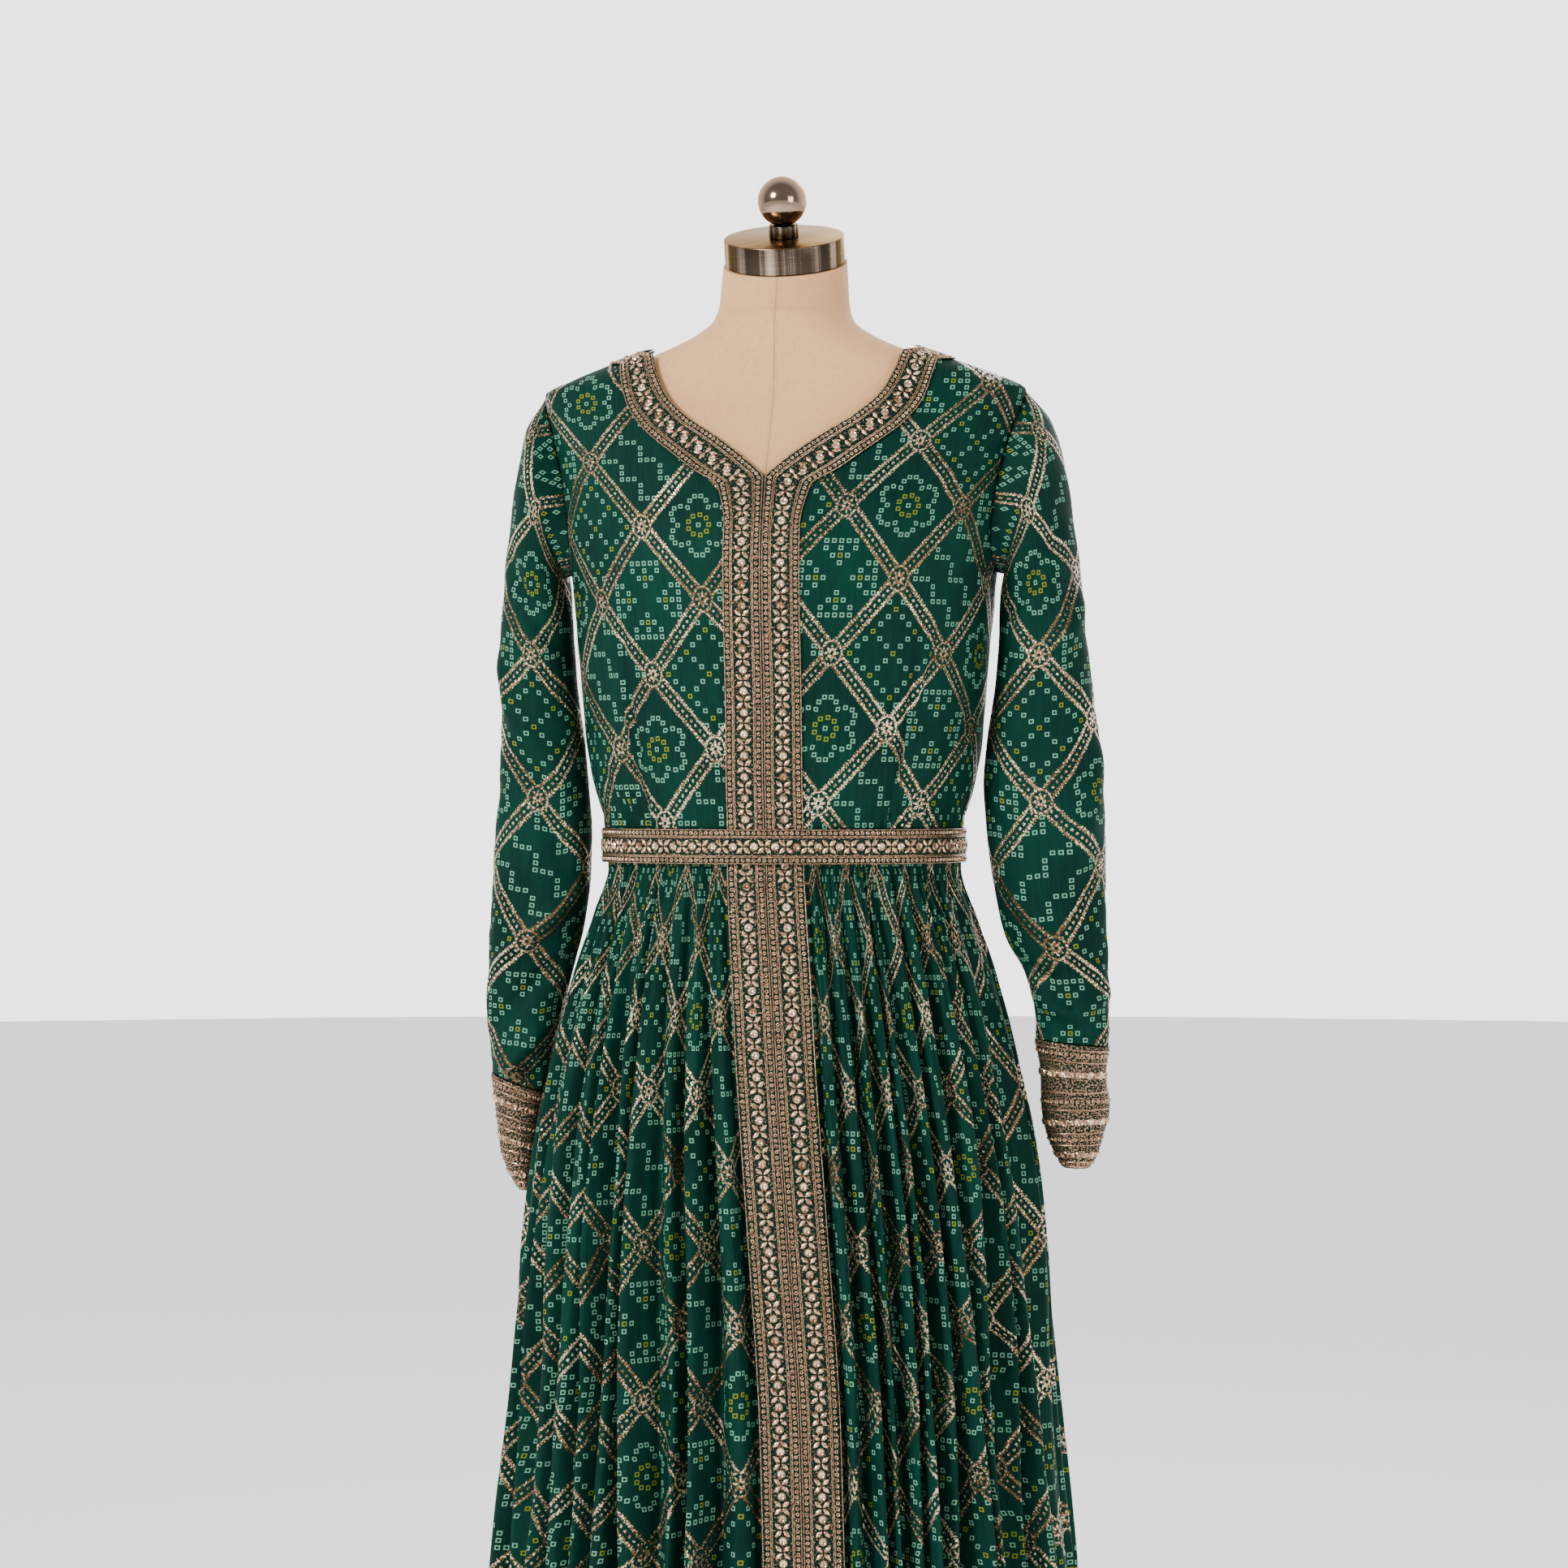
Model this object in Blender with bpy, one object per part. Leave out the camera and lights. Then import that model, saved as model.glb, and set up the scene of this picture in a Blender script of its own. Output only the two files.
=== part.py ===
"""Anarkali gown on a limbless dress form.

Metres, +Z up. The gown faces -Y and stands centred on the Z axis, with the underside of the
stand's base at z = 0. Left and right are the wearer's, so left is +X. Every cloth piece is a
thin wall between seams, and every section is read from the short tables below.
"""
import math

import bmesh
import bpy
import numpy as np

# Cloth, trims and the small gaps between pieces that are sewn or laid together
CLOTH = 0.0015
TRIM = 0.0012
SEAM_GAP = 0.0003
LAY_GAP = 0.0004
ROUNDNESS = 2.2

# Heights of the gown
HEM_Z = 0.060
SKIRT_TOP_Z = 1.0400
BODICE_FOOT_Z = 1.0405
UNDERARM_Z = 1.236
NECK_POINT_Z = 1.3077
SHOULDER_TIP_Z = 1.3835
SHOULDER_NECK_Z = 1.4200
BACK_NECK_Z = 1.3980

# Embroidered borders and belt
BORDER = 0.030
BELT_FOOT_Z = 1.0030
BELT_TOP_Z = 1.0305
BELT_WALL = 0.0020
BELT_COLUMNS = 64

# Neck cap, finial and stand
CAP_TILT = math.radians(20.0)
CAP_RADIUS = 0.049
CAP_HEIGHT = 0.022
CAP_TOP = (0.0, 0.0, 1.511)
COLLAR_RADIUS = 0.012
COLLAR_HEIGHT = 0.010
BALL_RADIUS = 0.020
BALL_FLAT = 0.0185
POLE_RADIUS = 0.0125
BASE_RADIUS = 0.150
BASE_HEIGHT = 0.012
FORM_FOOT_Z = 0.760

# Bodice, outer surface: z, half width, front depth, back depth
BODICE_SECTIONS = (
    (1.0405, 0.1460, 0.1080, 0.0960),
    (1.0600, 0.1530, 0.1120, 0.0990),
    (1.0770, 0.1570, 0.1135, 0.1000),
    (1.1100, 0.1620, 0.1150, 0.1010),
    (1.1600, 0.1665, 0.1210, 0.1030),
    (1.2087, 0.1700, 0.1285, 0.1050),
    (1.2400, 0.1735, 0.1300, 0.1060),
    (1.3000, 0.1820, 0.1130, 0.1030),
    (1.3500, 0.1915, 0.0850, 0.0880),
    (1.3835, 0.1970, 0.0640, 0.0690),
    (1.3950, 0.1760, 0.0610, 0.0660),
    (1.4100, 0.1360, 0.0595, 0.0630),
    (1.4200, 0.1070, 0.0590, 0.0610),
)

# Dress form, linen surface: z, half width, front depth, back depth
FORM_SECTIONS = (
    (0.7600, 0.1480, 0.1080, 0.1080),
    (0.8000, 0.1580, 0.1160, 0.1140),
    (0.8500, 0.1620, 0.1180, 0.1140),
    (0.9000, 0.1550, 0.1110, 0.1040),
    (0.9500, 0.1430, 0.1010, 0.0930),
    (1.0000, 0.1310, 0.0930, 0.0840),
    (1.0400, 0.1270, 0.0900, 0.0800),
    (1.1000, 0.1360, 0.0960, 0.0860),
    (1.1600, 0.1490, 0.1090, 0.0930),
    (1.2200, 0.1620, 0.1200, 0.0970),
    (1.2600, 0.1680, 0.1200, 0.0970),
    (1.3000, 0.1760, 0.1080, 0.0960),
    (1.3460, 0.1865, 0.0795, 0.0825),
    (1.3790, 0.1915, 0.0595, 0.0645),
    (1.3905, 0.1730, 0.0565, 0.0610),
    (1.4055, 0.1330, 0.0550, 0.0580),
    (1.4155, 0.1040, 0.0542, 0.0565),
    (1.4300, 0.0720, 0.0535, 0.0550),
    (1.4420, 0.0570, 0.0530, 0.0545),
)

# Tilted neck rings above the form's sections: height, y of the centre, radius, tilt in degrees
NECK_RINGS = (
    (1.4560, 0.0030, 0.0530, 8.0),
    (1.4730, 0.0055, 0.0518, 15.0),
    (1.4898, 0.0077, 0.0505, 20.0),
)

# Skirt, outermost points of the folds: z, half width, front depth, back depth
SKIRT_SECTIONS = (
    (0.0600, 0.2720, 0.2450, 0.2450),
    (0.4000, 0.2400, 0.2050, 0.2050),
    (0.5586, 0.2250, 0.1880, 0.1850),
    (0.6477, 0.2180, 0.1790, 0.1750),
    (0.7137, 0.2120, 0.1720, 0.1670),
    (0.7797, 0.2030, 0.1640, 0.1580),
    (0.8457, 0.1900, 0.1520, 0.1450),
    (0.9117, 0.1730, 0.1360, 0.1290),
    (0.9580, 0.1580, 0.1220, 0.1140),
    (1.0028, 0.1435, 0.1060, 0.0940),
    (1.0400, 0.1435, 0.1060, 0.0940),
)

# Skirt rows: z, half height of the fine gathers, half depth of the folds, placket offset in x
SKIRT_FOLDS = (
    (0.0600, 0.0000, 0.0165, 0.0440),
    (0.3500, 0.0000, 0.0150, 0.0430),
    (0.5600, 0.0000, 0.0130, 0.0370),
    (0.7300, 0.0000, 0.0110, 0.0240),
    (0.8400, 0.0005, 0.0085, 0.0140),
    (0.9120, 0.0010, 0.0055, 0.0080),
    (0.9650, 0.0013, 0.0025, 0.0030),
    (1.0010, 0.0010, 0.0004, 0.0000),
    (1.0400, 0.0008, 0.0000, 0.0000),
)
SKIRT_ROW_Z = (0.06, 0.32, 0.56, 0.73, 0.84, 0.912, 0.965, 1.001, 1.040)

# Valleys between the skirt's folds, as shares of the way from the border's edge to the side seam
VALLEYS_LEFT = (0.0, 0.055, 0.125, 0.185, 0.235, 0.29, 0.375, 0.465, 0.565, 0.665, 0.78, 1.0)
VALLEYS_RIGHT = (0.0, 0.07, 0.15, 0.225, 0.31, 0.38, 0.46, 0.55, 0.64, 0.74, 0.86, 1.0)
BACK_FOLDS = 24

# Fold strengths, one after another from the border round to the side seam
STRENGTHS_LEFT = (0.8, 0.55, 1.0, 0.65, 1.1, 0.7, 1.05, 0.85, 0.65, 1.1, 1.0)
STRENGTHS_RIGHT = (0.7, 1.0, 0.65, 1.1, 0.8, 1.05, 0.6, 1.0, 0.75, 1.1, 1.0)

# Neckline, from the point of the V to the shoulder: z, x
NECKLINE = (
    (1.3077, 0.0003),
    (1.3250, 0.0200),
    (1.3420, 0.0430),
    (1.3580, 0.0670),
    (1.3770, 0.0860),
    (1.3990, 0.0970),
    (1.4120, 0.1010),
)

# Bodice rows: z at the front edge, z at the side, angle from the front at the side in degrees,
# angle from the back at the side in degrees, border width along the row
BODICE_ROWS = (
    (1.0405, 1.0405, 90.0, 90.0, 0.030),
    (1.0790, 1.0790, 90.0, 90.0, 0.030),
    (1.1170, 1.1180, 90.0, 90.0, 0.030),
    (1.1550, 1.1570, 90.0, 90.0, 0.030),
    (1.1930, 1.1970, 90.0, 90.0, 0.030),
    (1.2310, 1.2360, 90.0, 90.0, 0.030),
    (1.2700, 1.2440, 81.0, 82.0, 0.030),
    (1.3077, 1.2600, 75.5, 77.0, 0.038),
    (1.3250, 1.2810, 73.0, 74.5, 0.044),
    (1.3420, 1.3040, 72.5, 74.0, 0.043),
    (1.3580, 1.3270, 73.5, 74.5, 0.039),
    (1.3770, 1.3490, 76.0, 77.0, 0.034),
    (1.3990, 1.3680, 81.0, 81.5, 0.030),
    (1.4120, 1.3780, 85.5, 86.0, 0.029),
    (1.4200, 1.3835, 90.0, 90.0, 0.029),
)
UNDERARM_ROW = 5
NECK_POINT_ROW = 7
DART_COLUMN = 6
DART_DEPTH = 0.0010
BODICE_COLUMNS = 11

# Centre back and back neckline: z, angle from the back in degrees
BACK_ROWS = (
    (1.0405, 0.0),
    (1.0790, 0.0),
    (1.1170, 0.0),
    (1.1550, 0.0),
    (1.1930, 0.0),
    (1.2310, 0.0),
    (1.2600, 0.0),
    (1.2890, 0.0),
    (1.3180, 0.0),
    (1.3470, 0.0),
    (1.3740, 0.0),
    (1.3980, 0.0),
    (1.4060, 35.0),
    (1.4150, 65.0),
    (1.4200, 90.0),
)

# Sleeve rings: outer x and z, inner x and z, half depth, y of the middle
SLEEVE_LEFT = (
    (0.2180, 1.3560, 0.1800, 1.2345, 0.0470, 0.000),
    (0.2300, 1.3120, 0.1775, 1.2270, 0.0440, 0.000),
    (0.2370, 1.2610, 0.1760, 1.2120, 0.0410, 0.000),
    (0.2429, 1.2087, 0.1750, 1.1850, 0.0380, 0.000),
    (0.2490, 1.1550, 0.1720, 1.1450, 0.0360, 0.000),
    (0.2541, 1.1097, 0.1660, 1.1050, 0.0350, -0.001),
    (0.2585, 1.0650, 0.1630, 1.0650, 0.0350, -0.002),
    (0.2610, 1.0250, 0.1655, 1.0250, 0.0340, -0.003),
    (0.2607, 0.9850, 0.1710, 0.9850, 0.0310, -0.003),
    (0.2615, 0.9450, 0.1800, 0.9450, 0.0280, -0.003),
    (0.2630, 0.9120, 0.1970, 0.9120, 0.0260, -0.003),
    (0.2640, 0.8800, 0.2040, 0.8830, 0.0250, -0.003),
    (0.2633, 0.8560, 0.2048, 0.8625, 0.0245, -0.003),
)
SLEEVE_RIGHT = (
    (0.2120, 1.3560, 0.1800, 1.2345, 0.0470, 0.000),
    (0.2215, 1.3150, 0.1775, 1.2270, 0.0430, 0.000),
    (0.2277, 1.2650, 0.1760, 1.2120, 0.0390, 0.000),
    (0.2323, 1.2153, 0.1745, 1.1850, 0.0350, 0.001),
    (0.2343, 1.1550, 0.1715, 1.1450, 0.0330, 0.002),
    (0.2352, 1.1070, 0.1660, 1.1050, 0.0320, 0.003),
    (0.2362, 1.0650, 0.1625, 1.0650, 0.0315, 0.004),
    (0.2390, 1.0280, 0.1600, 1.0280, 0.0310, 0.005),
    (0.2429, 0.9910, 0.1610, 0.9910, 0.0300, 0.006),
    (0.2455, 0.9480, 0.1680, 0.9450, 0.0280, 0.008),
    (0.2472, 0.9140, 0.1780, 0.9080, 0.0260, 0.010),
    (0.2482, 0.8790, 0.1870, 0.8700, 0.0245, 0.012),
    (0.2470, 0.8520, 0.1930, 0.8380, 0.0235, 0.014),
    (0.2450, 0.8290, 0.1960, 0.8120, 0.0230, 0.016),
)

# Cuff rings, same columns as the sleeves
CUFF_LEFT = (
    (0.2645, 0.8550, 0.2038, 0.8615, 0.0255, -0.003),
    (0.2615, 0.8330, 0.2085, 0.8360, 0.0250, -0.003),
    (0.2645, 0.8070, 0.2095, 0.8060, 0.0235, -0.003),
    (0.2595, 0.7850, 0.2140, 0.7840, 0.0210, -0.003),
    (0.2545, 0.7680, 0.2210, 0.7680, 0.0170, -0.003),
    (0.2480, 0.7580, 0.2270, 0.7585, 0.0130, -0.003),
)
CUFF_RIGHT = (
    (0.2462, 0.8280, 0.1950, 0.8110, 0.0240, 0.016),
    (0.2440, 0.8090, 0.1985, 0.7940, 0.0235, 0.017),
    (0.2415, 0.7870, 0.2015, 0.7750, 0.0225, 0.018),
    (0.2390, 0.7650, 0.2040, 0.7570, 0.0200, 0.019),
    (0.2320, 0.7450, 0.2060, 0.7420, 0.0165, 0.020),
    (0.2240, 0.7320, 0.2080, 0.7310, 0.0130, 0.020),
)
SLEEVE_CLEAR = 0.0040

# Colours, roughness and metallic value of each material
GREEN = (0.008, 0.110, 0.068)
ROSE_GOLD = (0.420, 0.270, 0.170)
LINEN = (0.730, 0.520, 0.370)
STEEL = (0.520, 0.430, 0.350)
CHARCOAL = (0.050, 0.050, 0.052)


def clear_scene():
    """Remove every object that the file opened with."""
    for item in list(bpy.data.objects):
        bpy.data.objects.remove(item, do_unlink=True)


def material(name, colour, roughness, metallic=0.0):
    """A plain Principled material in one colour."""
    finish = bpy.data.materials.new(name)
    finish.use_nodes = True
    shader = finish.node_tree.nodes["Principled BSDF"]
    shader.inputs["Base Color"].default_value = (*colour, 1.0)
    shader.inputs["Roughness"].default_value = roughness
    shader.inputs["Metallic"].default_value = metallic
    return finish


def profile(rows, at):
    """Read a table smoothly at a value of its first column, without overshoot."""
    table = np.array(rows, dtype=float)
    knots = table[:, 0]
    values = table[:, 1:]
    at = float(min(max(at, knots[0]), knots[-1]))
    low = min(int(np.searchsorted(knots, at, side="right")) - 1, len(knots) - 2)

    def slope(index):
        if index == 0:
            return (values[1] - values[0]) / (knots[1] - knots[0])
        if index == len(knots) - 1:
            return (values[-1] - values[-2]) / (knots[-1] - knots[-2])
        before = (values[index] - values[index - 1]) / (knots[index] - knots[index - 1])
        after = (values[index + 1] - values[index]) / (knots[index + 1] - knots[index])
        agree = before * after > 0.0
        total = np.where(agree, before + after, 1.0)
        return np.where(agree, 2.0 * before * after / total, 0.0)

    span = knots[low + 1] - knots[low]
    part = (at - knots[low]) / span
    square = part * part
    cube = square * part
    return (
        values[low] * (2.0 * cube - 3.0 * square + 1.0)
        + values[low + 1] * (3.0 * square - 2.0 * cube)
        + slope(low) * (cube - 2.0 * square + part) * span
        + slope(low + 1) * (cube - square) * span
    )


def around(section, angle, z):
    """Point of a section at an angle from the front, positive towards +X."""
    half_width, front, back = section
    side = math.sin(angle)
    ahead = math.cos(angle)
    power = 2.0 / ROUNDNESS
    depth = front if ahead > 0.0 else back
    x = half_width * math.copysign(abs(side) ** power, side)
    y = -depth * math.copysign(abs(ahead) ** power, ahead)
    return np.array((x, y, z))


def angle_at(section, x):
    """Angle from the front at which a section reaches x."""
    share = min(abs(x) / section[0], 1.0)
    return math.copysign(math.asin(share ** (ROUNDNESS / 2.0)), x)


def seam_angle(section, depth_index):
    """Angle just short of the side seam, half a seam gap ahead of it or behind it."""
    share = SEAM_GAP / section[depth_index]
    return math.pi / 2.0 - math.asin(share ** (ROUNDNESS / 2.0))


def outward(section, point):
    """Level direction that points straight out of a section."""
    depth = section[1] if point[1] < 0.0 else section[2]
    level = np.array((point[0] / section[0] ** 2, point[1] / depth ** 2, 0.0))
    return level / np.linalg.norm(level)


def add_grid(mesh, points, wrap=False, inward=False):
    """Add a skin whose corners are rows of points, each quad split along the same diagonal."""
    rows, columns = points.shape[:2]
    if wrap:
        points = np.concatenate([points, points[:, :1]], axis=1)
        columns += 1
    made = bmesh.ops.create_grid(mesh, x_segments=columns - 1, y_segments=rows - 1, size=1.0)
    for vert in made["verts"]:
        column = round((vert.co.x + 1.0) * 0.5 * (columns - 1))
        row = round((vert.co.y + 1.0) * 0.5 * (rows - 1))
        vert.co = points[row, column]
    quads = list(dict.fromkeys(face for vert in made["verts"] for face in vert.link_faces))
    split = bmesh.ops.triangulate(mesh, faces=quads, quad_method="FIXED")
    if inward:
        bmesh.ops.reverse_faces(mesh, faces=split["faces"])


def finish_object(name, mesh, finish, smooth_angle=40.0):
    """Turn a built mesh into a named object with its material."""
    data = bpy.data.meshes.new(name)
    mesh.to_mesh(data)
    mesh.free()
    data.materials.append(finish)
    data.shade_smooth()
    data.set_sharp_from_angle(angle=math.radians(smooth_angle))
    item = bpy.data.objects.new(name, data)
    bpy.context.collection.objects.link(item)
    return item


def surface_normals(points, wrap=False, level_columns=()):
    """Outward normals of a grid of points, held in the seam's plane along its seams."""
    if wrap:
        padded = np.concatenate([points[:, -1:], points, points[:, :1]], axis=1)
        across = np.gradient(padded, axis=1)[:, 1:-1]
    else:
        across = np.gradient(points, axis=1)
    up = np.gradient(points, axis=0)
    normal = np.cross(across, up)
    normal[:, :, 1][np.abs(points[:, :, 1]) < SEAM_GAP * 2.0] = 0.0
    normal[:, :, 0][np.abs(points[:, :, 0]) < SEAM_GAP * 2.0] = 0.0
    for column in level_columns:
        normal[:, column, 0] = 0.0
    length = np.linalg.norm(normal, axis=2, keepdims=True)
    return normal / np.maximum(length, 1e-12)


def moved_out(points, distance, wrap=False, level_columns=()):
    """Rows of points moved along the normals of the surface that they span."""
    return points + surface_normals(points, wrap, level_columns) * distance


def cloth_piece(name, grids, wall, finish, wrap=False, level_columns=()):
    """A cloth wall: outer skins from grids of points, inner skins behind them, and rims."""
    mesh = bmesh.new()
    for outer in grids:
        inner = moved_out(outer, -wall, wrap, level_columns)
        add_grid(mesh, outer, wrap)
        add_grid(mesh, inner, wrap, inward=True)
        add_grid(mesh, np.array([inner[0], outer[0]]), wrap)
        add_grid(mesh, np.array([outer[-1], inner[-1]]), wrap)
        if not wrap:
            add_grid(mesh, np.stack([inner[:, 0], outer[:, 0]], axis=1))
            add_grid(mesh, np.stack([outer[:, -1], inner[:, -1]], axis=1))
    bmesh.ops.remove_doubles(mesh, verts=mesh.verts, dist=1e-5)
    doubled = [face for face in mesh.faces if is_hidden_rim(face)]
    bmesh.ops.delete(mesh, geom=doubled, context="FACES")
    return finish_object(name, mesh, finish)


def is_hidden_rim(face):
    """Whether a face lies where two halves of one piece were welded together."""
    return any(len(edge.link_faces) > 2 for edge in face.edges) and all(
        abs(vert.co.x) < SEAM_GAP for vert in face.verts
    )


def front_row(index):
    """One row of the left front, from the centre or neckline to the side or armhole."""
    edge_z, side_z, side_angle, _, border = BODICE_ROWS[index]
    edge_section = profile(BODICE_SECTIONS, edge_z)
    side_section = profile(BODICE_SECTIONS, side_z)
    seam = seam_angle(side_section, 1)
    side = min(math.radians(side_angle), seam)
    if index <= NECK_POINT_ROW:
        edge = angle_at(edge_section, SEAM_GAP)
    elif index < len(BODICE_ROWS) - 1:
        edge = angle_at(edge_section, profile(NECKLINE, edge_z)[0])
    else:
        edge = seam_angle(edge_section, 1)

    def at(share):
        z = edge_z + (side_z - edge_z) * share
        return around(profile(BODICE_SECTIONS, z), edge + (side - edge) * share, z)

    samples = [at(share) for share in np.linspace(0.0, 1.0, 41)]
    steps = [np.linalg.norm(b - a) for a, b in zip(samples, samples[1:])]
    run = np.concatenate([[0.0], np.cumsum(steps)])
    wanted = [0.0, border * 0.5, border]
    wanted += list(np.linspace(border, run[-1], BODICE_COLUMNS - 2)[1:])
    shares = np.interp(wanted, run, np.linspace(0.0, 1.0, 41))
    return [at(share) for share in shares]


def front_points():
    """All rows of the left front, with the bust dart pressed in below the bust."""
    points = np.array([front_row(index) for index in range(len(BODICE_ROWS))])
    for index in range(UNDERARM_ROW):
        z = points[index, DART_COLUMN, 2]
        push = outward(profile(BODICE_SECTIONS, z), points[index, DART_COLUMN])
        points[index, DART_COLUMN] -= push * DART_DEPTH
    return points


def back_points():
    """All rows of the left half of the back, from the centre back to the side or armhole."""
    rows = []
    for index, (edge_z, edge_angle) in enumerate(BACK_ROWS):
        _, side_z, _, side_angle, _ = BODICE_ROWS[index]
        edge_seam = seam_angle(profile(BODICE_SECTIONS, edge_z), 2)
        side_seam = seam_angle(profile(BODICE_SECTIONS, side_z), 2)
        edge = min(math.radians(edge_angle), edge_seam)
        side = min(math.radians(side_angle), side_seam)
        row = []
        for share in np.linspace(0.0, 1.0, BODICE_COLUMNS - 1):
            z = edge_z + (side_z - edge_z) * share
            turn = math.pi - (edge + (side - edge) * share)
            row.append(around(profile(BODICE_SECTIONS, z), turn, z))
        rows.append(row)
    return np.array(rows)


def mirrored(points):
    """The same rows on the wearer's right, with the columns turned to face outwards again."""
    flipped = points[:, ::-1].copy()
    flipped[:, :, 0] *= -1.0
    return flipped


def build_bodice(cloth, trim):
    """Two fronts with their borders, and the back."""
    front = front_points()
    border = moved_out(front, LAY_GAP + TRIM)[:, :3]
    cloth_piece("bodice_front_left", [front], CLOTH, cloth)
    cloth_piece("bodice_front_right", [mirrored(front)], CLOTH, cloth)
    cloth_piece("bodice_border_left", [border], TRIM, trim)
    cloth_piece("bodice_border_right", [mirrored(border)], TRIM, trim)
    back = back_points()[:, ::-1]
    cloth_piece("bodice_back", [back, mirrored(back)], CLOTH, cloth)
    return front


def skirt_section(z):
    """Section through the middle of the skirt's folds, with the fold sizes there."""
    fine, fold, offset = profile(SKIRT_FOLDS, z)
    section = profile(SKIRT_SECTIONS, z) - (fine + fold)
    return section, fine, fold, offset


def fold_push(count, fine, fold, strengths):
    """Outward pushes of the points across some folds, four to a fold, from valley to valley."""
    pushes = []
    for index in range(count * 4 + 1):
        strength = strengths[min(index // 4, count - 1)]
        wave = (-1.0, 0.15, 1.0, 0.15)[index % 4]
        gather = (-1.0, 1.0)[index % 2]
        pushes.append(fold * wave * strength + fine * gather)
    return pushes


def front_skirt_row(z, sign, valleys, strengths):
    """One row of a skirt front, from the placket to the side seam."""
    section, fine, fold, offset = skirt_section(z)
    row = []
    for distance in (SEAM_GAP, SEAM_GAP + BORDER * 0.5, SEAM_GAP + BORDER):
        angle = angle_at(section, offset + sign * distance)
        row.append(around(section, angle, z))
    start = abs(angle_at(section, offset + sign * (SEAM_GAP + BORDER * 1.12)))
    if sign * offset + BORDER * 1.12 < 0.0:
        start = -start
    stop = seam_angle(section, 1)
    count = len(valleys) - 1
    places = []
    for low, high in zip(valleys, valleys[1:]):
        places += [low + (high - low) * quarter / 4.0 for quarter in range(4)]
    places.append(1.0)
    pushes = fold_push(count, fine, fold, strengths)
    pushes[-1] = 0.0
    for place, push in zip(places, pushes):
        angle = sign * (start + (stop - start) * place)
        point = around(section, angle, z)
        row.append(point + outward(section, point) * push)
    row[-1][1] = -SEAM_GAP
    return row


def back_skirt_row(z):
    """One row of the skirt's back, from the right side seam to the left one."""
    section, fine, fold, _ = skirt_section(z)
    count = BACK_FOLDS
    strengths = [0.88 + 0.2 * math.sin(2.3 * k) for k in range(count)]
    pushes = fold_push(count, fine, fold, strengths)
    pushes[0] = 0.0
    pushes[-1] = 0.0
    stop = seam_angle(section, 2)
    row = []
    for index, push in enumerate(pushes):
        share = index / (len(pushes) - 1)
        share += 0.006 * math.sin(share * 4.0 * math.pi)
        turn = math.pi + stop - 2.0 * stop * share
        point = around(section, turn, z)
        row.append(point + outward(section, point) * push)
    row[0][1] = SEAM_GAP
    row[-1][1] = SEAM_GAP
    return row[::-1]


def build_skirt(cloth, trim):
    """Two skirt fronts with their borders, and the back."""
    for side, sign, valleys, strengths in (
        ("left", 1.0, VALLEYS_LEFT, STRENGTHS_LEFT),
        ("right", -1.0, VALLEYS_RIGHT, STRENGTHS_RIGHT),
    ):
        rows = [front_skirt_row(z, sign, valleys, strengths) for z in SKIRT_ROW_Z]
        points = np.array(rows)
        if sign < 0.0:
            points = points[:, ::-1]
        centre = 0 if sign > 0.0 else points.shape[1] - 1
        level = (0, 1, 2) if sign > 0.0 else (centre - 2, centre - 1, centre)
        cloth_piece("skirt_front_" + side, [points], CLOTH, cloth, level_columns=level)
        raised = moved_out(points, LAY_GAP + TRIM, level_columns=level)
        border = raised[:, :3] if sign > 0.0 else raised[:, -3:]
        cloth_piece("skirt_border_" + side, [border], TRIM, trim, level_columns=(0, 1, 2))
    back = np.array([back_skirt_row(z) for z in SKIRT_ROW_Z])
    cloth_piece("skirt_back", [back[:, ::-1]], CLOTH, cloth)


def build_belt(trim):
    """A straight band round the waist, over the tops of the gathers."""
    rows = []
    for z in (BELT_FOOT_Z, BELT_TOP_Z):
        section = profile(SKIRT_SECTIONS, z) + 0.0009 + BELT_WALL + TRIM + LAY_GAP
        turns = np.linspace(0.0, 2.0 * math.pi, BELT_COLUMNS, endpoint=False)
        rows.append([around(section, turn, z) for turn in turns])
    cloth_piece("belt", [np.array(rows)], BELT_WALL, trim, wrap=True)


def gown_reach(y, z):
    """How far out in x the gown's body reaches at a depth and a height."""
    rows = SKIRT_SECTIONS if z < SKIRT_TOP_Z else BODICE_SECTIONS
    half_width, front, back = profile(rows, z)
    depth = front if y < 0.0 else back
    share = min(abs(y) / depth, 1.0)
    return half_width * (1.0 - share ** ROUNDNESS) ** (1.0 / ROUNDNESS)


def tube_ring(row, count):
    """An oval ring between an outer and an inner point, starting at the outer one."""
    outer_x, outer_z, inner_x, inner_z, depth, middle = row
    ring = []
    for turn in np.linspace(0.0, 2.0 * math.pi, count, endpoint=False):
        swing = math.cos(turn)
        x = (outer_x + inner_x) * 0.5 + (outer_x - inner_x) * 0.5 * swing
        z = (outer_z + inner_z) * 0.5 + (outer_z - inner_z) * 0.5 * swing
        y = middle - depth * math.sin(turn)
        if z < UNDERARM_Z:
            x = max(x, gown_reach(y, z) + SLEEVE_CLEAR)
        ring.append(np.array((x, y, z)))
    return ring


def armhole_ring(front, back):
    """The sleeve's first ring, just inside the armhole, from the shoulder tip to the front."""
    down = [front[index, -1] for index in range(len(front) - 1, UNDERARM_ROW - 1, -1)]
    up = [back[index, -1] for index in range(UNDERARM_ROW + 1, len(back) - 1)]
    loop = np.array(down + up)
    loop[0, 1] = 0.0
    loop[len(down) - 1, 1] = 0.0
    middle = loop.mean(axis=0)
    inwards = middle - loop
    inwards[:, 0] = 0.0
    inwards /= np.linalg.norm(inwards, axis=1, keepdims=True)
    shifted = loop + inwards * 0.0007
    shifted[:, 0] += 0.0003
    return list(shifted)


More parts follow.
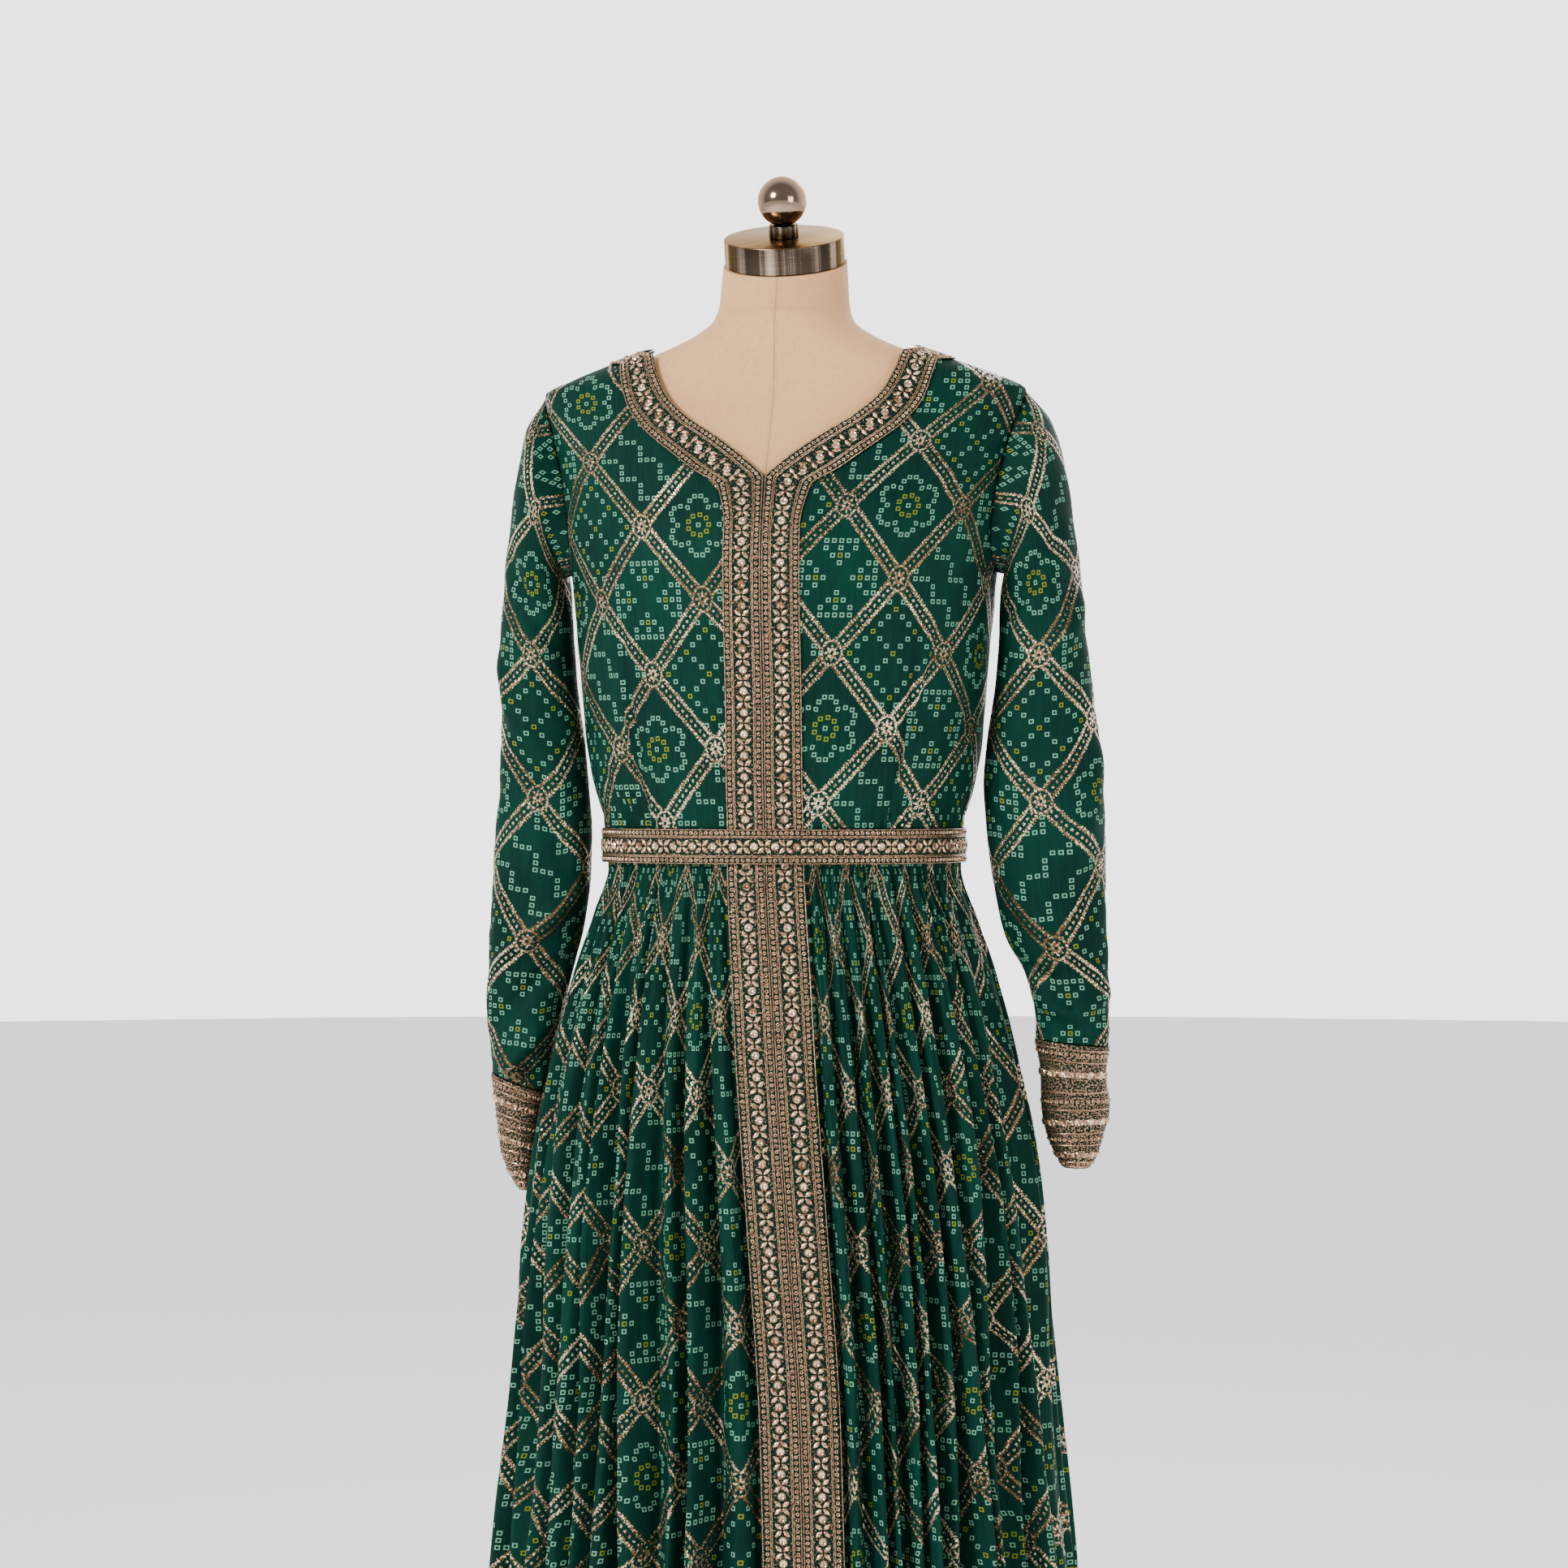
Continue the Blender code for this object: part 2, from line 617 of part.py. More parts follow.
def build_sleeves(front, cloth, trim):
    """Two empty sleeves that hang from the armholes, with their cuffs."""
    start = armhole_ring(front, back_points())
    count = len(start)
    for side, sign, rows, cuff_rows in (
        ("left", 1.0, SLEEVE_LEFT, CUFF_LEFT),
        ("right", -1.0, SLEEVE_RIGHT, CUFF_RIGHT),
    ):
        sleeve = np.array([start] + [tube_ring(row, count) for row in rows])
        cuff = np.array([tube_ring(row, count) for row in cuff_rows])
        if sign < 0.0:
            sleeve[:, :, 0] *= -1.0
            cuff[:, :, 0] *= -1.0
        else:
            sleeve = sleeve[:, ::-1]
            cuff = cuff[:, ::-1]
        cloth_piece("sleeve_" + side, [sleeve[:, ::-1]], CLOTH, cloth, wrap=True)
        cloth_piece("cuff_" + side, [cuff[:, ::-1]], CLOTH, trim, wrap=True)


def build_form(linen):
    """The padded torso: hips to neck, whole and smooth, with plain shoulder ends."""
    columns = 32
    turns = np.linspace(0.0, 2.0 * math.pi, columns, endpoint=False)
    rows = []
    for z, *section in FORM_SECTIONS:
        rows.append([around(section, turn, z) for turn in turns])
    for height, middle, radius, tilt in NECK_RINGS:
        lean = math.radians(tilt)
        ring = []
        for turn in turns:
            ahead = radius * math.cos(turn)
            y = middle - ahead * math.cos(lean)
            ring.append(np.array((radius * math.sin(turn), y, height - ahead * math.sin(lean))))
        rows.append(ring)
    mesh = bmesh.new()
    add_grid(mesh, np.array(rows), wrap=True)
    bmesh.ops.remove_doubles(mesh, verts=mesh.verts, dist=1e-5)
    rims = [edge for edge in mesh.edges if edge.is_boundary]
    bmesh.ops.holes_fill(mesh, edges=rims, sides=columns)
    bmesh.ops.recalc_face_normals(mesh, faces=mesh.faces)
    finish_object("form_torso", mesh, linen, 60.0)


def tilted(height):
    """Centre of the neck's tilted axis at a height above the cap's top face."""
    x, y, z = CAP_TOP
    return (x, y - height * math.sin(CAP_TILT), z + height * math.cos(CAP_TILT))


def disc(name, finish, radius, height, centre, tilt=0.0, edge=0.0, sides=32):
    """A round solid, bevelled at its rims, standing at a centre and tilted forward."""
    mesh = bmesh.new()
    bmesh.ops.create_cone(
        mesh, cap_ends=True, segments=sides, radius1=radius, radius2=radius, depth=height
    )
    if edge > 0.0:
        rims = [item for item in mesh.edges if abs(item.verts[0].co.z - item.verts[1].co.z) < 1e-6]
        bmesh.ops.bevel(
            mesh, geom=rims, offset=edge, segments=2, profile=0.5, affect="EDGES", material=-1
        )
    item = finish_object(name, mesh, finish)
    item.location = centre
    item.rotation_euler = (tilt, 0.0, 0.0)
    return item


def build_cap(steel):
    """The tilted neck cap, its collar and the ball."""
    disc("neck_cap", steel, CAP_RADIUS, CAP_HEIGHT, tilted(-CAP_HEIGHT / 2.0), CAP_TILT, 0.0008)
    collar_middle = tilted(SEAM_GAP + COLLAR_HEIGHT / 2.0)
    disc("finial_collar", steel, COLLAR_RADIUS, COLLAR_HEIGHT, collar_middle, CAP_TILT, 0.0005, 24)
    mesh = bmesh.new()
    bmesh.ops.create_uvsphere(mesh, u_segments=20, v_segments=12, radius=BALL_RADIUS)
    cut = bmesh.ops.bisect_plane(
        mesh,
        geom=mesh.verts[:] + mesh.edges[:] + mesh.faces[:],
        plane_co=(0.0, 0.0, -BALL_FLAT),
        plane_no=(0.0, 0.0, -1.0),
        clear_outer=True,
    )
    rim = [item for item in cut["geom_cut"] if isinstance(item, bmesh.types.BMEdge)]
    bmesh.ops.holes_fill(mesh, edges=rim, sides=20)
    bmesh.ops.recalc_face_normals(mesh, faces=mesh.faces)
    ball = finish_object("finial_ball", mesh, steel)
    ball.location = tilted(COLLAR_HEIGHT + SEAM_GAP * 2.0 + BALL_FLAT)
    ball.rotation_euler = (CAP_TILT, 0.0, 0.0)


def build_stand(metal):
    """The pole and the round flat base that the form stands on."""
    low = BASE_HEIGHT + SEAM_GAP
    high = FORM_FOOT_Z - SEAM_GAP
    middle = (0.0, 0.0, (low + high) / 2.0)
    disc("stand_pole", metal, POLE_RADIUS, high - low, middle, sides=24)
    disc("stand_base", metal, BASE_RADIUS, BASE_HEIGHT, (0.0, 0.0, BASE_HEIGHT / 2.0), edge=0.002)


def main():
    """Build every piece of the gown, the form and its stand."""
    clear_scene()
    cloth = material("green georgette", GREEN, 0.75)
    trim = material("zari trim", ROSE_GOLD, 0.45, 0.3)
    linen = material("linen", LINEN, 0.85)
    steel = material("brushed steel", STEEL, 0.28, 1.0)
    metal = material("painted stand", CHARCOAL, 0.45, 0.2)
    front = build_bodice(cloth, trim)
    build_skirt(cloth, trim)
    build_belt(trim)
    build_sleeves(front, cloth, trim)
    build_form(linen)
    build_cap(steel)
    build_stand(metal)


main()
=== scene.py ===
"""Anarkali gown on a limbless dress form, dressed for a soft studio picture.

The gown faces -Y and stands centred on the Z axis, in metres. Left and right are the wearer's, so
left is +X. Every cloth piece is a thin shell that lies on the solid of the same name.
"""
from __future__ import annotations

import logging
import math
from dataclasses import dataclass
from enum import Enum
from typing import Sequence

import bmesh
import bpy
import numpy as np
from mathutils import Matrix, Vector

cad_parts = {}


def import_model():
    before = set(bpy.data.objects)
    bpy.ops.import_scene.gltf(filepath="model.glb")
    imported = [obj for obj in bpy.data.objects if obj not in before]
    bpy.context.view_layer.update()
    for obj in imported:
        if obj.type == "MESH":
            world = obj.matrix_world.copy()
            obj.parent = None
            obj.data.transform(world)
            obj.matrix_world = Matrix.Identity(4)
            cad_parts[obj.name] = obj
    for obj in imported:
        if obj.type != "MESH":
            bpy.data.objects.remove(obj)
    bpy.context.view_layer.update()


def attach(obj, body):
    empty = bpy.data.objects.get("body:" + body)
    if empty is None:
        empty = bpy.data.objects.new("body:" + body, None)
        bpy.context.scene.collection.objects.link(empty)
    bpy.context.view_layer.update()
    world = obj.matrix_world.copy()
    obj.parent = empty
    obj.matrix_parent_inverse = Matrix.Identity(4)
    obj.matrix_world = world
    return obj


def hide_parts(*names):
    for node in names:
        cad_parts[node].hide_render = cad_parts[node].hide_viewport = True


LOG = logging.getLogger("gown")

Array = np.ndarray
Colour = tuple[float, float, float]
Material = bpy.types.Material

# Sizes shared with the solids
SEAM_GAP = 0.0003
LAY_GAP = 0.0004
TRIM = 0.0012
BORDER = 0.03
ROUNDNESS = 2.2
UNDERARM_ROW = 5
NECK_POINT_ROW = 7
BACK_NECK_ROW = 11
NECKLINE_ROW = 13
TOP_ROW = 14
UNDERARM_Z = 1.236
WAIST_Z = 1.0405
SKIRT_TOP_Z = 1.04
BELT_FOOT_Z = 1.003
HEM_Z = 0.06
CAP_TILT = math.radians(20.0)
CAP_TOP = Vector((0.0, 0.0, 1.511))

# Shells: thickness of the cloth, the trims and the belt, and columns across a border
CLOTH_WALL = 0.0009
TRIM_WALL = 0.0008
BELT_WALL = 0.0018
BORDER_COLUMNS = 17
MIRROR = np.array((-1.0, 1.0, 1.0))
UV_MIRROR = np.array((-1.0, 1.0))

# Bodice, outer surface: z, half width, front depth, back depth
BODICE_SECTIONS = (
    (1.0405, 0.146, 0.108, 0.096),
    (1.06, 0.153, 0.112, 0.099),
    (1.077, 0.157, 0.1135, 0.1),
    (1.11, 0.162, 0.115, 0.101),
    (1.16, 0.1665, 0.121, 0.103),
    (1.2087, 0.17, 0.1285, 0.105),
    (1.24, 0.1735, 0.13, 0.106),
    (1.3, 0.182, 0.113, 0.103),
    (1.35, 0.1915, 0.085, 0.088),
    (1.3835, 0.197, 0.064, 0.069),
    (1.395, 0.176, 0.061, 0.066),
    (1.41, 0.136, 0.0595, 0.063),
    (1.42, 0.107, 0.059, 0.061),
)

# Dress form, linen surface: z, half width, front depth, back depth
FORM_SECTIONS = (
    (0.76, 0.148, 0.108, 0.108),
    (0.8, 0.158, 0.116, 0.114),
    (0.85, 0.162, 0.118, 0.114),
    (0.9, 0.155, 0.111, 0.104),
    (0.95, 0.143, 0.101, 0.093),
    (1.0, 0.131, 0.093, 0.084),
    (1.04, 0.127, 0.09, 0.08),
    (1.1, 0.136, 0.096, 0.086),
    (1.16, 0.149, 0.109, 0.093),
    (1.22, 0.162, 0.12, 0.097),
    (1.26, 0.168, 0.12, 0.097),
    (1.3, 0.176, 0.108, 0.096),
    (1.346, 0.1865, 0.0795, 0.0825),
    (1.379, 0.1915, 0.0595, 0.0645),
    (1.3905, 0.173, 0.0565, 0.061),
    (1.4055, 0.133, 0.055, 0.058),
    (1.4155, 0.104, 0.0542, 0.0565),
    (1.43, 0.072, 0.0535, 0.055),
    (1.442, 0.057, 0.053, 0.0545),
)

# Neck rings above the form's sections: height, y of the centre, radius, tilt in degrees
NECK_RINGS = (
    (1.456, 0.003, 0.053, 8.0),
    (1.473, 0.0055, 0.0518, 15.0),
    (1.4898, 0.0077, 0.0505, 20.0),
)

# Skirt, outermost points of the folds: z, half width, front depth, back depth
SKIRT_SECTIONS = (
    (0.06, 0.272, 0.245, 0.245),
    (0.4, 0.24, 0.205, 0.205),
    (0.5586, 0.225, 0.188, 0.185),
    (0.6477, 0.218, 0.179, 0.175),
    (0.7137, 0.212, 0.172, 0.167),
    (0.7797, 0.203, 0.164, 0.158),
    (0.8457, 0.19, 0.152, 0.145),
    (0.9117, 0.173, 0.136, 0.129),
    (0.958, 0.158, 0.122, 0.114),
    (1.0028, 0.1435, 0.106, 0.094),
    (1.04, 0.1435, 0.106, 0.094),
)

# Skirt rows: z, half height of the fine gathers, half depth of the folds, placket offset in x
SKIRT_FOLDS = (
    (0.06, 0.0, 0.0165, 0.044),
    (0.35, 0.0, 0.015, 0.043),
    (0.56, 0.0, 0.013, 0.037),
    (0.73, 0.0, 0.011, 0.024),
    (0.84, 0.0005, 0.0085, 0.014),
    (0.912, 0.001, 0.0055, 0.008),
    (0.965, 0.0013, 0.0025, 0.003),
    (1.001, 0.001, 0.0004, 0.0),
    (1.04, 0.0008, 0.0, 0.0),
)

# Valleys between the skirt's folds, as shares of the way from the border to the side seam
VALLEYS_LEFT = (0.0, 0.055, 0.125, 0.185, 0.235, 0.29, 0.375, 0.465, 0.565, 0.665, 0.78, 1.0)
VALLEYS_RIGHT = (0.0, 0.07, 0.15, 0.225, 0.31, 0.38, 0.46, 0.55, 0.64, 0.74, 0.86, 1.0)
STRENGTHS_LEFT = (0.8, 0.55, 1.0, 0.65, 1.1, 0.7, 1.05, 0.85, 0.65, 1.1, 1.0)
STRENGTHS_RIGHT = (0.7, 1.0, 0.65, 1.1, 0.8, 1.05, 0.6, 1.0, 0.75, 1.1, 1.0)
BACK_FOLDS = 24

# Neckline, from the point of the V to the shoulder: z, x
NECKLINE = (
    (1.3077, 0.0003),
    (1.325, 0.02),
    (1.342, 0.043),
    (1.358, 0.067),
    (1.377, 0.086),
    (1.399, 0.097),
    (1.412, 0.101),
)

# Bodice rows: number, z at the front edge, z at the side, angle from the front at the side,
# angle from the back at the side, border width along the row
BODICE_ROWS = (
    (0, 1.0405, 1.0405, 90.0, 90.0, 0.03),
    (1, 1.079, 1.079, 90.0, 90.0, 0.03),
    (2, 1.117, 1.118, 90.0, 90.0, 0.03),
    (3, 1.155, 1.157, 90.0, 90.0, 0.03),
    (4, 1.193, 1.197, 90.0, 90.0, 0.03),
    (5, 1.231, 1.236, 90.0, 90.0, 0.03),
    (6, 1.27, 1.244, 81.0, 82.0, 0.03),
    (7, 1.3077, 1.26, 75.5, 77.0, 0.038),
    (8, 1.325, 1.281, 73.0, 74.5, 0.044),
    (9, 1.342, 1.304, 72.5, 74.0, 0.043),
    (10, 1.358, 1.327, 73.5, 74.5, 0.039),
    (11, 1.377, 1.349, 76.0, 77.0, 0.034),
    (12, 1.399, 1.368, 81.0, 81.5, 0.03),
    (13, 1.412, 1.378, 85.5, 86.0, 0.029),
    (14, 1.42, 1.3835, 90.0, 90.0, 0.029),
)

# Centre back and back neckline: row number, z, angle from the back in degrees
BACK_ROWS = (
    (0, 1.0405, 0.0),
    (1, 1.079, 0.0),
    (2, 1.117, 0.0),
    (3, 1.155, 0.0),
    (4, 1.193, 0.0),
    (5, 1.231, 0.0),
    (6, 1.26, 0.0),
    (7, 1.289, 0.0),
    (8, 1.318, 0.0),
    (9, 1.347, 0.0),
    (10, 1.374, 0.0),
    (11, 1.398, 0.0),
    (12, 1.406, 35.0),
    (13, 1.415, 65.0),
    (14, 1.42, 90.0),
)

# Sleeve rings: outer x and z, inner x and z, half depth, y of the middle
SLEEVE_LEFT = (
    (0.218, 1.356, 0.18, 1.2345, 0.047, 0.0),
    (0.23, 1.312, 0.1775, 1.227, 0.044, 0.0),
    (0.237, 1.261, 0.176, 1.212, 0.041, 0.0),
    (0.2429, 1.2087, 0.175, 1.185, 0.038, 0.0),
    (0.249, 1.155, 0.172, 1.145, 0.036, 0.0),
    (0.2541, 1.1097, 0.166, 1.105, 0.035, -0.001),
    (0.2585, 1.065, 0.163, 1.065, 0.035, -0.002),
    (0.261, 1.025, 0.1655, 1.025, 0.034, -0.003),
    (0.2607, 0.985, 0.171, 0.985, 0.031, -0.003),
    (0.2615, 0.945, 0.18, 0.945, 0.028, -0.003),
    (0.263, 0.912, 0.197, 0.912, 0.026, -0.003),
    (0.264, 0.88, 0.204, 0.883, 0.025, -0.003),
    (0.2633, 0.856, 0.2048, 0.8625, 0.0245, -0.003),
)
SLEEVE_RIGHT = (
    (0.212, 1.356, 0.18, 1.2345, 0.047, 0.0),
    (0.2215, 1.315, 0.1775, 1.227, 0.043, 0.0),
    (0.2277, 1.265, 0.176, 1.212, 0.039, 0.0),
    (0.2323, 1.2153, 0.1745, 1.185, 0.035, 0.001),
    (0.2343, 1.155, 0.1715, 1.145, 0.033, 0.002),
    (0.2352, 1.107, 0.166, 1.105, 0.032, 0.003),
    (0.2362, 1.065, 0.1625, 1.065, 0.0315, 0.004),
    (0.239, 1.028, 0.16, 1.028, 0.031, 0.005),
    (0.2429, 0.991, 0.161, 0.991, 0.03, 0.006),
    (0.2455, 0.948, 0.168, 0.945, 0.028, 0.008),
    (0.2472, 0.914, 0.178, 0.908, 0.026, 0.01),
    (0.2482, 0.879, 0.187, 0.87, 0.0245, 0.012),
    (0.247, 0.852, 0.193, 0.838, 0.0235, 0.014),
    (0.245, 0.829, 0.196, 0.812, 0.023, 0.016),
)

# Cuff rings, same columns as the sleeves
CUFF_LEFT = (
    (0.2645, 0.855, 0.2038, 0.8615, 0.0255, -0.003),
    (0.2615, 0.833, 0.2085, 0.836, 0.025, -0.003),
    (0.2645, 0.807, 0.2095, 0.806, 0.0235, -0.003),
    (0.2595, 0.785, 0.214, 0.784, 0.021, -0.003),
    (0.2545, 0.768, 0.221, 0.768, 0.017, -0.003),
    (0.248, 0.758, 0.227, 0.7585, 0.013, -0.003),
)
CUFF_RIGHT = (
    (0.2462, 0.828, 0.195, 0.811, 0.024, 0.016),
    (0.244, 0.809, 0.1985, 0.794, 0.0235, 0.017),
    (0.2415, 0.787, 0.2015, 0.775, 0.0225, 0.018),
    (0.239, 0.765, 0.204, 0.757, 0.02, 0.019),
    (0.232, 0.745, 0.206, 0.742, 0.0165, 0.02),
    (0.224, 0.732, 0.208, 0.731, 0.013, 0.02),
)
SLEEVE_CLEAR = 0.004

# Lights: name, place, length of a side, power in watts
LIGHTS = (
    ("key", (-1.8, -2.5, 2.6), 0.8, 150.0),
    ("fill", (2.4, -2.2, 1.6), 1.3, 42.0),
    ("rim", (0.6, 2.4, 2.6), 1.6, 36.0),
)


class Side(Enum):
    """A side of the wearer, with the sign of its x."""

    LEFT = 1.0
    RIGHT = -1.0

    @property
    def word(self) -> str:
        """The side as it stands in a piece's name."""
        return self.name.lower()


class Slot(Enum):
    """The record's material slots."""

    CLOTH = "green_cloth"
    TRIM = "zari_trim"
    LINEN = "linen"
    STEEL = "brushed_steel"
    STAND = "painted_stand"


class Table:
    """A short table that is read smoothly between its rows, without overshoot."""

    def __init__(self, rows: Sequence[Sequence[float]]) -> None:
        """Prepare the slopes at each row.

        Args:
            rows: rows whose first column rises.
        """
        data = np.array(rows, dtype=float)
        self.knots = data[:, 0]
        self.values = data[:, 1:]
        rates = np.diff(self.values, axis=0) / np.diff(self.knots)[:, None]
        before = rates[:-1]
        after = rates[1:]
        agree = before * after > 0.0
        total = np.where(agree, before + after, 1.0)
        middle = np.where(agree, 2.0 * before * after / total, 0.0)
        self.slopes = np.vstack([rates[:1], middle, rates[-1:]])

    def __call__(self, at: Array | float) -> Array:
        """Read the other columns.

        Args:
            at: values of the first column.

        Returns:
            One more axis than the values have, with a column each.
        """
        at = np.clip(np.asarray(at, dtype=float), self.knots[0], self.knots[-1])
        low = np.clip(np.searchsorted(self.knots, at, side="right") - 1, 0, len(self.knots) - 2)
        span = (self.knots[low + 1] - self.knots[low])[..., None]
        part = (at - self.knots[low])[..., None] / span
        square = part * part
        cube = square * part
        return (
            self.values[low] * (2.0 * cube - 3.0 * square + 1.0)
            + self.values[low + 1] * (3.0 * square - 2.0 * cube)
            + self.slopes[low] * (cube - 2.0 * square + part) * span
            + self.slopes[low + 1] * (cube - square) * span
        )


BODICE = Table(BODICE_SECTIONS)
SKIRT = Table(SKIRT_SECTIONS)
FOLDS = Table(SKIRT_FOLDS)
ROWS = Table(BODICE_ROWS)
BACKS = Table(BACK_ROWS)
NECK = Table(NECKLINE)


def around(section: Array, angle: Array, z: Array) -> Array:
    """Points of a rounded section at angles from the front, positive towards +X.

    Args:
        section: half width, front depth and back depth in the last axis.
        angle: angles in radians.
        z: heights.

    Returns:
        Points, with x, y and z in the last axis.
    """
    side = np.sin(angle)
    ahead = np.cos(angle)
    power = 2.0 / ROUNDNESS
    depth = np.where(ahead > 0.0, section[..., 1], section[..., 2])
    x = section[..., 0] * np.sign(side) * np.abs(side) ** power
    y = -depth * np.sign(ahead) * np.abs(ahead) ** power
    return np.stack([x, y, np.broadcast_to(z, x.shape)], axis=-1)


def angle_at(section: Array, x: Array) -> Array:
    """Angle from the front at which a section reaches x."""
    share = np.minimum(np.abs(x) / section[..., 0], 1.0)
    return np.sign(x) * np.arcsin(share ** (ROUNDNESS / 2.0))


def seam_angle(section: Array, column: int) -> Array:
    """Angle just short of the side seam, ahead of it (column 1) or behind it (column 2)."""
    share = SEAM_GAP / section[..., column]
    return math.pi / 2.0 - np.arcsin(share ** (ROUNDNESS / 2.0))


def level_outward(section: Array, points: Array) -> Array:
    """Level directions that point straight out of a section.

    Args:
        section: half width, front depth and back depth in the last axis.
        points: points on the section.

    Returns:
        Unit directions, one for each point.
    """
    depth = np.where(points[..., 1] < 0.0, section[..., 1], section[..., 2])
    level = np.stack(
        [
            points[..., 0] / section[..., 0] ** 2,
            points[..., 1] / depth ** 2,
            np.zeros(points.shape[:-1]),
        ],
        axis=-1,
    )
    return level / np.linalg.norm(level, axis=-1, keepdims=True)


def level_arc(table: Table, angle: Array, z: Array) -> Array:
    """Level distance round a sectioned body, measured from its front.

    Args:
        table: the body's sections.
        angle: angles from the front.
        z: heights.

    Returns:
        The distances in metres.
    """
    shares = np.linspace(0.0, 1.0, 33)
    section = table(z)[..., None, :]
    spots = around(section, angle[..., None] * shares, z[..., None])
    return np.linalg.norm(np.diff(spots, axis=-2), axis=-1).sum(axis=-1)


def slope_height(z: Array) -> Array:
    """Height measured along the bodice's slope, which leans back above the chest.

    Args:
        z: heights.

    Returns:
        The lengths along the slope, counted up from the floor.
    """
    foot = 1.04
    levels = np.linspace(foot, 1.42, 96)
    depth = BODICE(levels)[:, 1]
    steps = np.hypot(np.diff(levels), np.diff(depth))
    return foot + np.interp(z, levels, np.concatenate([[0.0], np.cumsum(steps)]))


def gown_reach(y: Array, z: Array) -> Array:
    """How far out in x the gown's body reaches.

    Args:
        y: depths.
        z: heights.

    Returns:
        The largest x at each place.
    """
    section = np.where((z < SKIRT_TOP_Z)[..., None], SKIRT(z), BODICE(z))
    depth = np.where(y < 0.0, section[..., 1], section[..., 2])
    share = np.minimum(np.abs(y) / depth, 1.0)
    return section[..., 0] * (1.0 - share ** ROUNDNESS) ** (1.0 / ROUNDNESS)


def grid_normals(points: Array, wrap: bool = False) -> Array:
    """Outward normals of a grid of points.

    Args:
        points: rows and columns of points, columns running anticlockwise seen from outside.
        wrap: whether the columns close on themselves, first and last being the same place.

    Returns:
        Unit normals, one for each point.
    """
    if wrap:
        padded = np.concatenate([points[:, -2:-1], points, points[:, 1:2]], axis=1)
        across = np.gradient(padded, axis=1)[:, 1:-1]
    else:
        across = np.gradient(points, axis=1)
    up = np.gradient(points, axis=0)
    normal = np.cross(across, up)
    length = np.linalg.norm(normal, axis=2, keepdims=True)
    return normal / np.maximum(length, 1e-12)


def ripple(u: Array, v: Array, size: float, seed: float) -> Array:
    """Smooth uneven waves, from a few sines of fixed phases.

    Args:
        u: places across the cloth.
        v: places along the cloth.
        size: rough length of a wave.
        seed: shifts the pattern.

    Returns:
        Heights between about -1 and 1.
    """
    a = u / size
    b = v / size
    total = np.sin(a * 6.1 + 1.7 * np.sin(b * 2.3 + seed) + seed)
    total = total + 0.7 * np.sin(b * 4.7 + 1.3 * np.sin(a * 3.1 + seed * 1.7) + seed * 2.1)
    total = total + 0.5 * np.sin((a + b) * 9.3 + seed * 3.3)
    return total / 2.2


@dataclass(frozen=True)
class Crease:
    """One listed fold: a soft ridge, or a trough where its height is negative."""

    path: tuple[tuple[float, float], ...]
    height: float
    width: float

    def push(self, u: Array, v: Array) -> Array:
        """Outward push of the cloth at its own coordinates.

        Args:
            u: places across the cloth in metres.
            v: places along the cloth in metres.

        Returns:
            The push in metres.
        """
        spots = np.array(self.path, dtype=float)
        steps = np.diff(spots, axis=0)
        runs = np.linalg.norm(steps, axis=1)
        whole = runs.sum()
        nearest = np.full(u.shape, 1e9)
        along = np.zeros(u.shape)
        gone = 0.0
        for start, step, run in zip(spots, steps, runs):
            share = ((u - start[0]) * step[0] + (v - start[1]) * step[1]) / run ** 2
            share = np.clip(share, 0.0, 1.0)
            gap = np.hypot(u - start[0] - share * step[0], v - start[1] - share * step[1])
            closer = gap < nearest
            nearest = np.where(closer, gap, nearest)
            along = np.where(closer, (gone + share * run) / whole, along)
            gone += run
        taper = np.sin(np.pi * np.clip(along, 0.02, 0.98)) ** 0.7
        return self.height * taper * np.exp(-((nearest / self.width) ** 2))


# Creases of a bodice front, each a path of distances from the front edge and heights, a height
# and a width: the dart comes first
BODICE_CREASES = {
    Side.LEFT: (
        (((0.1, 1.045), (0.112, 1.1), (0.124, 1.16), (0.13, 1.205)), -0.004, 0.0034),
        (((0.06, 1.05), (0.075, 1.085), (0.08, 1.12)), 0.0026, 0.01),
        (((0.13, 1.06), (0.145, 1.1), (0.15, 1.15)), 0.0024, 0.012),
        (((0.205, 1.245), (0.165, 1.235), (0.125, 1.215)), -0.0022, 0.008),
        (((0.185, 1.275), (0.15, 1.262), (0.115, 1.255)), 0.0018, 0.01),
        (((0.15, 1.345), (0.12, 1.315), (0.1, 1.285)), 0.0016, 0.012),
        (((0.2, 1.13), (0.165, 1.1), (0.14, 1.075)), -0.0022, 0.009),
    ),
    Side.RIGHT: (
        (((0.098, 1.045), (0.11, 1.1), (0.12, 1.155), (0.122, 1.2)), -0.004, 0.0034),
        (((0.07, 1.05), (0.082, 1.08), (0.086, 1.13)), 0.0028, 0.011),
        (((0.205, 1.24), (0.17, 1.215), (0.14, 1.195)), -0.0024, 0.009),
        (((0.19, 1.27), (0.16, 1.25), (0.125, 1.235)), 0.002, 0.01),
        (((0.16, 1.34), (0.13, 1.305), (0.11, 1.27)), 0.0016, 0.012),
        (((0.195, 1.12), (0.16, 1.085), (0.13, 1.06)), -0.0026, 0.01),
        (((0.15, 1.1), (0.135, 1.07), (0.12, 1.05)), 0.002, 0.008),
    ),
}
